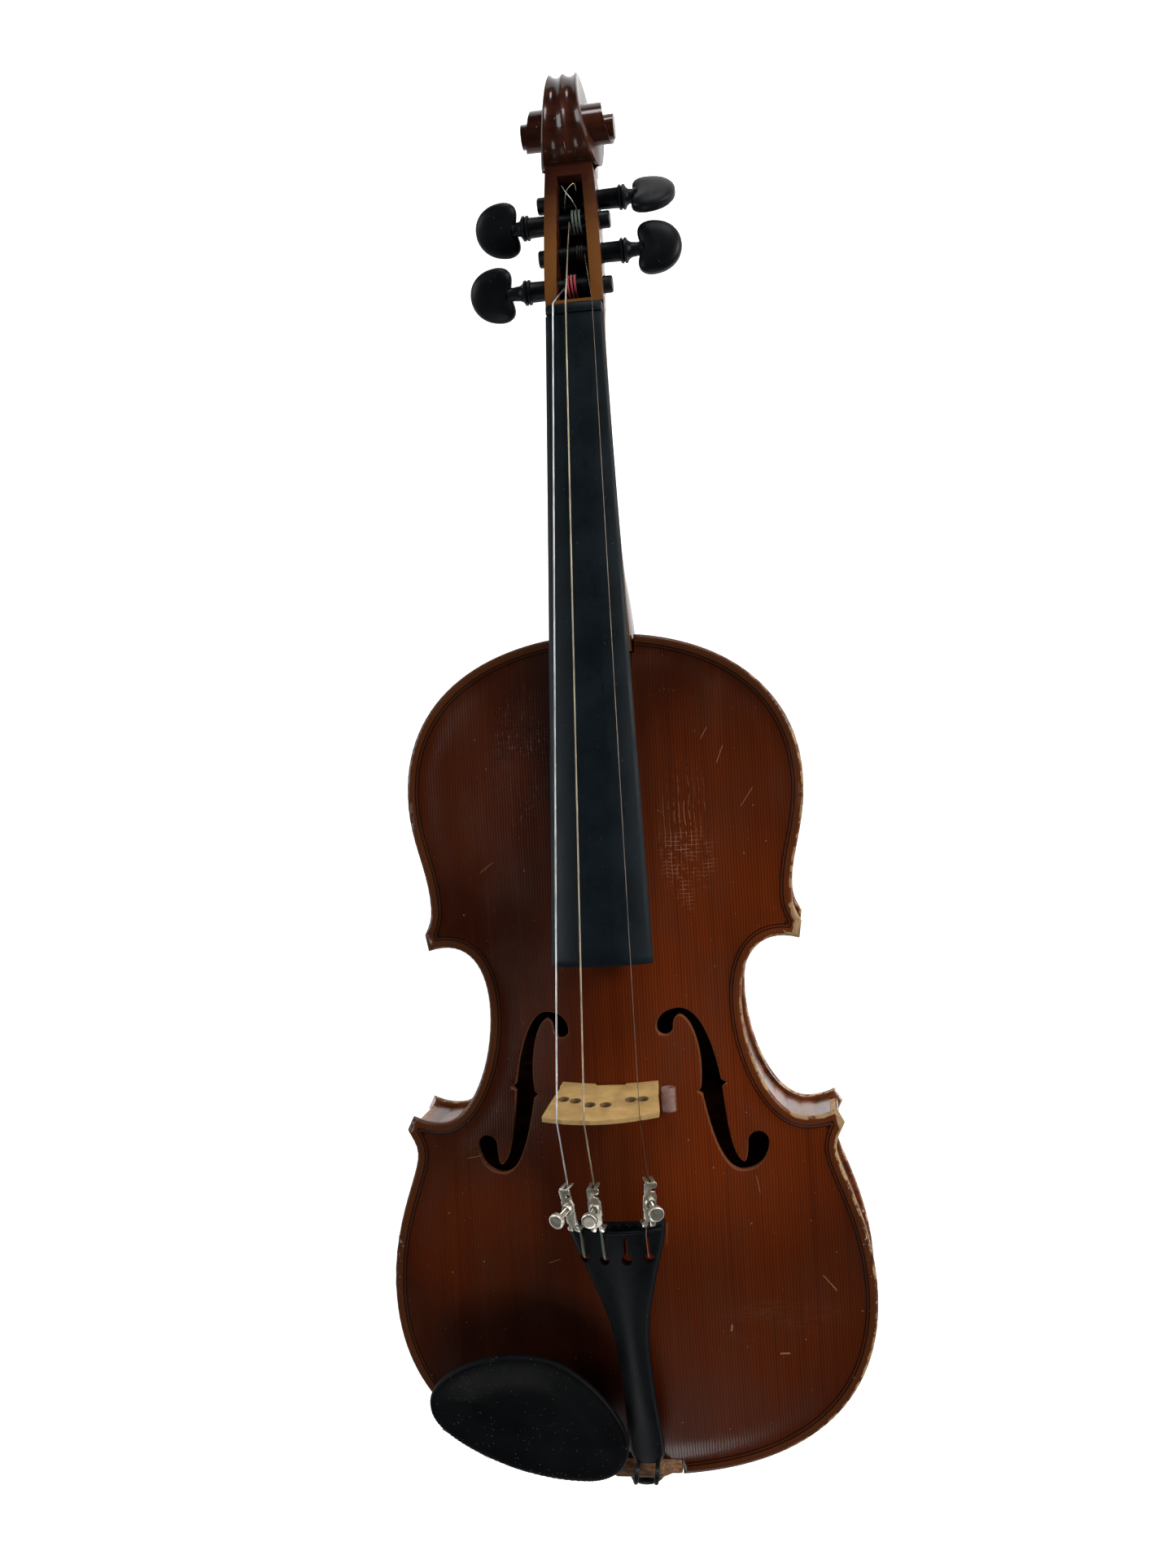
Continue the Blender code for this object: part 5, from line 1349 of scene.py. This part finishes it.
def bridge_piece():
    foot_x = np.array([-19.9, -13.0, -5.6])
    left = np.column_stack([foot_x, bridge_foot(foot_x)])
    right_x = np.array([7.0, 13.0, 19.9])
    right = np.column_stack([right_x, bridge_foot(right_x)])
    right_side = [(20.2, 2.6), (19.9, 3.2), (20.1, 4.5), (20.8, 10.0), (22.2, 20.0), (22.6, 27.0)]
    crown_x = np.linspace(19.5, -20.5, 41)
    crown = np.column_stack([crown_x, bridge_crown(crown_x)])
    for _, _, string_x, _, _ in STRINGS.values():
        notch = np.abs(crown[:, 0] - (string_x - BRIDGE_FOOT[0])) < 0.6
        crown[notch, 1] -= 0.35
    left_side = [(-23.3, 29.6), (-22.3, 20.0), (-21.0, 10.0), (-20.1, 4.5), (-19.9, 3.2),
        (-20.3, 2.6)]
    arch_line = [(-5.2, 1.9), (6.6, 1.9)]
    loop = np.vstack([left, arch_line, right, right_side, crown, left_side])
    obj = raw("bridge_blank", slab(loop, [], [], lambda f: bridge_place(f, -1),
        lambda f: bridge_place(f, 1)))
    side = bridge_frame()
    for x, up in BRIDGE_HOLES:
        drill = turned(DRILL, 32, (x, up, 0))
        points = drill[0] @ side.T + np.array([BRIDGE_FOOT[0], BRIDGE_FOOT[1], 11.2])
        combine(obj, raw("drill", (points, drill[1])), "DIFFERENCE")
    rounded(obj, 0.18, 2, 30.0)
    obj.name = "bridge_cut"
    finish(obj, BRIDGE, stands_for="bridge", sharp=30.0)


# Shares of the tailpiece's half width that carry its surface points
TAIL_SHARES = (-0.97, -0.9, -0.8, -0.65, -0.48, -0.3, -0.1, 0.1, 0.3, 0.48, 0.65, 0.8, 0.9, 0.97)


def tail_piece():
    ys = np.concatenate([[11.4, 11.6, 12.0, 12.6, 13.6], np.linspace(15, 118.0, 60), [118.6]])
    half = through(ys, TAIL_HALF_WIDTH)
    right = np.column_stack([tail_axis(ys) + half, ys])
    left = np.column_stack([tail_axis(ys) - half, ys])[::-1]
    top_x = np.linspace(1, -1, 25)[1:-1] * half[-1] + tail_axis(118.6)
    end = np.column_stack([top_x, np.full(23, 118.6)])
    loop = np.vstack([right, end, left])
    line = np.vstack([loop, loop[:1]])
    extra = []
    for y in np.linspace(12.5, 117.8, 70):
        wide = float(through(y, TAIL_HALF_WIDTH))
        for s in TAIL_SHARES:
            extra.append((tail_axis(y) + s * wide, y))
    holes = [keyhole_fine(x) for x in KEYHOLES.values()]
    extra = np.array(extra)
    extra = extra[nearest(extra, line) > 0.25]
    for hole in holes:
        closed = np.vstack([hole, hole[:1]])
        extra = extra[(nearest(extra, closed) > 0.3) & ~inside(extra, hole)]

    def upper(flat):
        found = tail_surface(1)(flat)
        found[:, 2] -= edge_round(nearest(flat, line), 1.3)
        return found

    def lower(flat):
        found = tail_surface(-1)(flat)
        found[:, 2] += edge_round(nearest(flat, line), 0.8)
        return found

    obj = raw("tail_board", slab(loop, holes, extra, lower, upper))
    for s in (-4, 4):
        bore = turned([(1.35, -9.0), (1.35, 4.0)], 32, (tail_axis(14) + s, 16.0, 11.9), "y")
        combine(obj, raw("bore", bore), "DIFFERENCE")
    finish(obj, FITTINGS, stands_for="tailpiece", sharp=40.0)
    fret = rounded(copy_of("tailpiece_fret"), 0.3, 3)
    fret.name = "tail_fret"
    finish(fret, FITTINGS, stands_for="tailpiece_fret")


def keyhole_fine(x):
    ring = arc((x, KEYHOLE_Y), 2.1, 112, 428, 30)
    slot = [(x + 0.7, KEYHOLE_Y + 9.0), (x + 0.3, KEYHOLE_Y + 9.5), (x - 0.3, KEYHOLE_Y + 9.5),
        (x - 0.7, KEYHOLE_Y + 9.0)]
    return np.vstack([ring, slot])


def rest_piece():
    loop = rest_loop(5.0)
    line = np.vstack([loop, loop[:1]])
    centre = np.array([-42.0, 33.0])
    shares = (0.99, 0.975, 0.955, 0.93, 0.9, 0.86, 0.8, 0.73, 0.65, 0.55, 0.44, 0.32, 0.2, 0.1)
    extra = apart(np.vstack([centre + (loop - centre) * s for s in shares] + [[centre]]), 0.5)
    extra = extra[nearest(extra, line) > 0.2]

    def upper(flat):
        depth = nearest(flat, line)
        z = 19.3 + 0.027 * (flat[:, 0] + 84.0) - 4.6 * ease(depth, 1.4, 17.0)
        return np.column_stack([flat, z - edge_round(depth, 1.6)])

    def lower(flat):
        depth = nearest(flat, line)
        z = 15.7 + 0.027 * (flat[:, 0] + 84.0) - 4.4 * ease(depth, 1.0, 17.0)
        return np.column_stack([flat, z + edge_round(depth, 1.2)])

    obj = raw("rest_plate", slab(loop[::-1], [], extra, lower, upper))
    finish(obj, BLACK, stands_for="chin_rest", sharp=50.0)


# Strings, silk and adjusters


def string_path(name):
    radius, nut_x, bridge_x, _, _ = STRINGS[name]
    wound = coil_fine(name, radius)
    nut_top = board_edge(NUT_Y - 2.5) + sqrt(BOARD_RADIUS**2 - nut_x**2) - 40.6 + 0.95
    run = [(nut_x, NUT_Y - 0.4, nut_top + radius + 0.15),
        (nut_x, NUT_Y - 2.5, nut_top + radius + 0.3)]
    crown = crown_point(bridge_x) + np.array([0, 0.0, radius + 0.45])
    nut_end = np.array(run[-1])
    for t in (0.02, 0.25, 0.5, 0.75, 0.98):
        run.append(tuple(nut_end + t * (crown - nut_end)))
    run.append(tuple(crown))
    hook_y = TUNER_Y[name] + 9.2
    for y in (crown[1] - 3.0, 150.0, hook_y + 1.0, hook_y - 1.0, 125.5, 119.0):
        run.append(tuple(string_line(name, y)))
    hole_x = KEYHOLES[name]
    top = tail_top(hole_x, 112.0)
    tail = [(hole_x, 114.5, top + 2.5), (hole_x, 110.0, top + 1.2), (hole_x, 106.0, top - 0.6),
        (hole_x, KEYHOLE_Y + 0.2, top - 3.0), (hole_x, KEYHOLE_Y - 0.1, top - 5.0)]
    return wound, run, tail


def coil_fine(name, radius):
    """The same turns as the solid has, with more points."""
    y, z, side = PEGS[name]
    nut_x = STRINGS[name][1]
    turns = 3.5
    reach = 4.15 + radius + 0.35
    pitch = 2.0 * radius + 0.7
    angles = np.linspace(-2 * pi * turns, 0, round(turns * 40) + 1) + 0.42 * pi
    rows = []
    for angle in angles:
        x = nut_x * 0.55 + side * pitch * (angle - angles[-1]) / (2 * pi)
        rows.append((x, y - reach * cos(angle), z + reach * sin(angle)))
    return rows


def string_pieces():
    looks = {"g": SILVER, "d": GOLD, "e": STEEL}
    silks = {"g": (RED_SILK, GREEN_SILK), "d": (PALE_SILK, GREEN_SILK), "e": (None, DARK_SILK)}
    for name, (radius, *_rest) in STRINGS.items():
        wound, run, tail = string_path(name)
        path = np.array(wound + run + tail)
        obj = raw(f"line_{name}", tube(path, 0.8 * radius, 14))
        finish(obj, looks[name], stands_for=f"string_{name}", sharp=80.0)
        peg_silk, end_silk = silks[name]
        if peg_silk:
            sleeve = raw(f"silk_peg_{name}", tube(wound[8:-6], radius + 0.05, 12))
            finish(sleeve, peg_silk, sharp=80.0)
        tail_line = smooth_path([run[-1]] + tail, 30)
        sleeve = raw(f"silk_tail_{name}", tube(tail_line, radius + 0.03, 12))
        finish(sleeve, end_silk, sharp=80.0)
        tuner_piece(name)


# Opposite corners of the four claws under an adjuster's plate
CLAWS = (((-2.5, -9.2, -1.6), (-0.75, -8.3, 3.1)), ((0.75, -9.2, -1.6), (2.5, -8.3, 3.1)),
    ((-2.0, 9.1, -1.6), (-0.75, 9.9, 3.1)), ((0.75, 9.1, -1.6), (2.0, 9.9, 3.1)))


def tuner_plate(name):
    """The bent plate of an adjuster: two claws, a bush and a slotted hook."""
    right = [(2.7, -8.6), (2.7, -7.3), (1.7, -6.9), (1.7, -5.9), (2.3, -5.3), (2.3, -2.4),
        (2.7, -1.6), (2.7, 4.0), (2.1, 4.8), (2.1, 5.7), (0.5, 5.9), (0.1, 6.5), (0.5, 7.1),
        (2.1, 7.3), (2.5, 7.7), (2.5, 9.2), (2.1, 9.6)]
    left = [(-1.9, 9.6), (-2.5, 9.0), (-2.5, 5.4), (-2.1, 4.8), (-2.7, 4.0), (-2.7, -1.6),
        (-2.3, -2.4), (-2.3, -5.3), (-1.7, -5.9), (-1.7, -6.9), (-2.7, -7.3), (-2.7, -8.6)]
    notch = [(-0.5, -8.6), (-0.5, -7.0), (0.5, -7.0), (0.5, -8.6)]
    hole = arc((0, TUNER_HOLE), 1.5, 0, 360, 30)[:-1]
    turn = tuner_frame(name)
    centre = string_line(name, TUNER_Y[name])
    plate = raw("plate", moved(slab(right + left + notch, [hole], [], level(2.6), level(3.5)),
        turn, centre))
    rounded(plate, 0.22, 2, 40.0)
    for low, high in CLAWS:
        claw = rounded(raw("claw", moved(box(low, high), turn, centre)), 0.2, 2, 40.0)
        combine(plate, claw, "UNION")
    collar = [(1.5, 3.2), (2.15, 3.2), (2.3, 3.5), (2.3, 4.5), (2.05, 5.0), (1.5, 5.0)]
    angles = np.linspace(0, 2 * pi, 40, endpoint=False)
    rings = [np.array([(r * cos(a), TUNER_HOLE + r * sin(a), z) for r,
        z in collar]) for a in angles]
    combine(plate, raw("bush", moved(loft(rings, closed=True), turn, centre)), "UNION")
    plate.name = f"adjuster_{name}_plate"
    finish(plate, NICKEL, stands_for=f"tuner_{name}_frame", sharp=40.0)


def tuner_piece(name):
    tuner_plate(name)
    turn = tuner_frame(name)
    centre = string_line(name, TUNER_Y[name])
    seat = (0, TUNER_HOLE, 0)
    rows = [(0.6, 1.7)]
    z = 2.0
    while z < 10.0:
        rows += [(1.05, z), (1.05, z + 0.15), (0.88, z + 0.25), (0.88, z + 0.35)]
        z += 0.4
    rows.append((0.7, 10.3))
    screw = raw(f"adjuster_{name}_screw", moved(turned(rows, 32, seat), turn, centre))
    finish(screw, NICKEL, body=f"tuner_{name}_slide", stands_for=f"tuner_{name}_screw", sharp=30.0)
    shoe = rounded(raw(f"adjuster_{name}_shoe",
        moved(turned([(1.6, 0.75), (1.6, 1.45)], 40, seat), turn, centre)), 0.15)
    finish(shoe, NICKEL, body=f"tuner_{name}_slide", stands_for=f"tuner_{name}_shoe")
    knob = raw(f"adjuster_{name}_head", moved(knurled(seat), turn, centre))
    finish(knob, NICKEL, body=f"tuner_{name}_head", stands_for=f"tuner_{name}_knob", sharp=30.0)


def knurled(seat):
    """The round head of a screw, its rim cut with fine grooves."""
    count = 144
    angles = np.linspace(0, 2 * pi, count, endpoint=False)
    groove = 0.11 * (np.cos(angles * 48) > 0)
    rows = [(1.2, 10.6, 0), (2.6, 10.7, 0), (2.95, 10.9, 0), (3.1, 11.15, 1), (3.1, 12.85, 1),
        (2.95, 13.1, 0), (2.7, 13.25, 0), (2.0, 13.3, 0), (0.35, 13.22, 0)]
    rings = []
    for radius, z, cut in rows:
        reach = radius - cut * groove
        rings.append(np.stack([reach * np.cos(angles), reach * np.sin(angles), np.full(count, z)],
            axis=1))
    points, faces = loft(rings)
    return points + np.array(seat, float), faces


def loose_ends():
    """The curled ends of wire in the pegbox."""
    curl = [(-3.5, 534, -20), (-2.6, 537.5, -15), (-0.6, 541.5, -12.4), (1.8, 543.5, -13.5),
        (2.4, 541, -15.5)]
    obj = raw("wire_end_d", tube(smooth_path(curl, 40), 0.22, 10))
    finish(obj, GOLD, sharp=80.0)
    curl = [(2.5, 532.5, -19), (0.8, 536.5, -14.5), (-1.8, 540, -12.2), (-3.4, 543, -13.2)]
    obj = raw("wire_end_g", tube(smooth_path(curl, 40), 0.18, 10))
    finish(obj, SILVER, sharp=80.0)


def gut_piece():
    right = [(tail_axis(14) + 4.0, 19.5, 11.9), (tail_axis(14) + 4.0, 12.4, 11.9),
        (8.7, 10.4, 11.4), (8.2, 7.2, 8.2), (7.8, 4.6, 6.6), (7.3, 1.9, 6.0), (6.8, -0.4, 4.3),
        (6.3, -1.35, 1.0), (6.0, -1.7, -6.0), (5.9, -2.6, -13.0), (5.85, -3.2, -19.2)]
    turn = np.linspace(0, -pi, 9)[1:-1]
    around = [(5.85 * cos(a), -3.2, -19.2 + 5.85 * sin(a)) for a in turn]
    left = [(-5.85, -3.2, -19.2), (-5.7, -2.6, -13.0), (-4.6, -1.7, -6.0), (-2.6, -1.35, 1.0),
        (-1.8, -0.4, 4.3), (-1.3, 1.9, 6.0), (-0.9, 4.6, 6.6), (-0.2, 7.2, 8.2),
        (0.6, 10.4, 11.4), (tail_axis(14) - 4.0, 12.4, 11.9), (tail_axis(14) - 4.0, 19.5, 11.9)]
    obj = raw("gut_loop", tube(smooth_path(right + around + left, 180), 0.95, 20))
    finish(obj, BLACK, stands_for="tailgut", sharp=80.0)


def small_pieces():
    rest = float(belly_top(np.array([(21.4, 163.0)]))[0, 2])
    points, faces = ring_solid(2.3, 2.95, -4.8, 4.8, 48, (0, 0))
    points = points[:, [1, 2, 0]] + np.array([22.2, 163.0, rest + 3.9])
    obj = rounded(raw("sleeve", (points, faces)), 0.12)
    finish(obj, CLEAR, stands_for="string_sleeve", sharp=40.0)
    rows = [(3.9, 16.0), (3.9, 1.9), (6.9, 1.8), (7.1, 1.3), (7.1, 0.4), (6.2, -0.8), (5.0, -1.8),
        (4.6, -3.2), (4.6, -4.2), (5.4, -5.6), (6.6, -6.6), (7.4, -7.6), (7.6, -8.6), (7.3, -9.8),
        (6.4, -10.6), (5.0, -10.9), (3.0, -11.0)]
    button = raw("tail_button", turned(rows, 64, (0, 0, -19.2), "y"))
    finish(button, FITTINGS, stands_for="end_button", sharp=40.0)
    for node, look, width in (
        ("saddle", SADDLE, 0.4), ("clamp_upper", NICKEL, 0.3), ("clamp_lower", NICKEL, 0.3),
        ("clamp_barrel_1", NICKEL, 0.25), ("clamp_barrel_2", NICKEL, 0.25),
        ("clamp_cork", CORK, 0.3), ("chin_rest_cork", CORK, 0.3),
    ):
        obj = rounded(copy_of(node), width, 2, 30.0)
        finish(obj, look, body=BODY_OF[node], stands_for=node)


BODY_OF = {n: body for body,
    nodes in frame["record"]["behaviour"]["bodies"].items() for n in nodes}


def inner_pieces():
    for node, slot_name in SLOT_OF.items():
        if slot_name == "bare_wood":
            paint(node, BARE)
        if node.startswith("rib_"):
            paint(node, RIBS)


# Room


# The camera's right, down and forward directions, its place in metres and its optics in mm
CAMERA_AXES = ((0.98670618, -0.05931758, -0.15130213), (-0.05406848, -0.99779174, 0.03857769),
    (-0.15325635, -0.02988417, -0.98773449))
CAMERA_PLACE = (0.084428, 0.020131, 0.627151)
SENSOR_WIDTH = 36.0
LENS = 32.32
NEAREST = 0.01
# Name, place in metres, side in metres, power in watts and colour
LIGHTS = (("key", (1.5, 0.6, 0.85), 0.7, 42.0, (1.0, 0.985, 0.96)),
    ("fill", (-1.6, 0.3, 0.85), 0.7, 24.0, (0.96, 0.98, 1.0)),
    ("head", (0.3, 1.85, 0.85), 0.5, 22.0, (1.0, 1.0, 1.0)),
    ("foot", (-0.2, -1.8, 0.85), 0.7, 14.0, (1.0, 1.0, 1.0)))
LIGHTS_AIM = (0.0, 0.0, 0.04)
FLOOR_HALF = 6.0
FLOOR_GLOW = 0.68
FLOOR_TONES = ((0.955, 0.955, 0.955), (0.965, 0.965, 0.965))
SKY_COLOUR = (0.9, 0.95, 1.0, 1.0)
SKY_STRENGTH = 0.035


def camera():
    right, down, ahead = (Vector(row) for row in CAMERA_AXES)
    turn = Matrix((right, -down, -ahead)).transposed()
    data = bpy.data.cameras.new("photo")
    data.sensor_width = SENSOR_WIDTH
    data.lens = LENS
    data.clip_start = NEAREST
    obj = bpy.data.objects.new("photo_camera", data)
    obj.matrix_world = Matrix.Translation(CAMERA_PLACE) @ turn.to_4x4()
    bpy.context.scene.collection.objects.link(obj)
    bpy.context.scene.camera = obj


def softbox(name, place, side, power, colour):
    data = bpy.data.lights.new(name, "AREA")
    data.shape = "RECTANGLE"
    data.size = data.size_y = side
    data.energy = power
    data.color = colour
    obj = bpy.data.objects.new(name, data)
    obj.location = place
    aim = Vector(LIGHTS_AIM) - Vector(place)
    obj.rotation_euler = aim.to_track_quat("-Z", "Y").to_euler()
    bpy.context.scene.collection.objects.link(obj)


def room():
    shade = Shader("floor_paint", Roughness=0.9, Specular_IOR_Level=0.1,
        Emission_Strength=FLOOR_GLOW)
    shade.main.inputs["Emission Color"].default_value = (1.0, 1.0, 1.0, 1.0)
    tone = shade.noise((3, 3, 3), 2.0)
    shade.done(shade.mix(tone, *FLOOR_TONES))
    mesh = bpy.data.meshes.new("floor")
    half = FLOOR_HALF
    corners = [(-half, -half, 0), (half, -half, 0), (half, half, 0), (-half, half, 0)]
    mesh.from_pydata(corners, [], [(0, 1, 2, 3)])
    mesh.materials.append(shade.material)
    floor = bpy.data.objects.new("floor", mesh)
    bpy.context.scene.collection.objects.link(floor)
    for light in LIGHTS:
        softbox(*light)
    world_data = bpy.data.worlds.new("studio")
    world_data.use_nodes = True
    back_node = world_data.node_tree.nodes["Background"]
    back_node.inputs["Color"].default_value = SKY_COLOUR
    back_node.inputs["Strength"].default_value = SKY_STRENGTH
    bpy.context.scene.world = world_data
    bpy.context.scene.view_settings.view_transform = "Standard"


def build():
    camera()
    belly()
    back()
    neck_piece()
    board_piece()
    nut_piece()
    peg_pieces()
    bridge_piece()
    tail_piece()
    rest_piece()
    string_pieces()
    loose_ends()
    gut_piece()
    small_pieces()
    inner_pieces()
    room()


build()
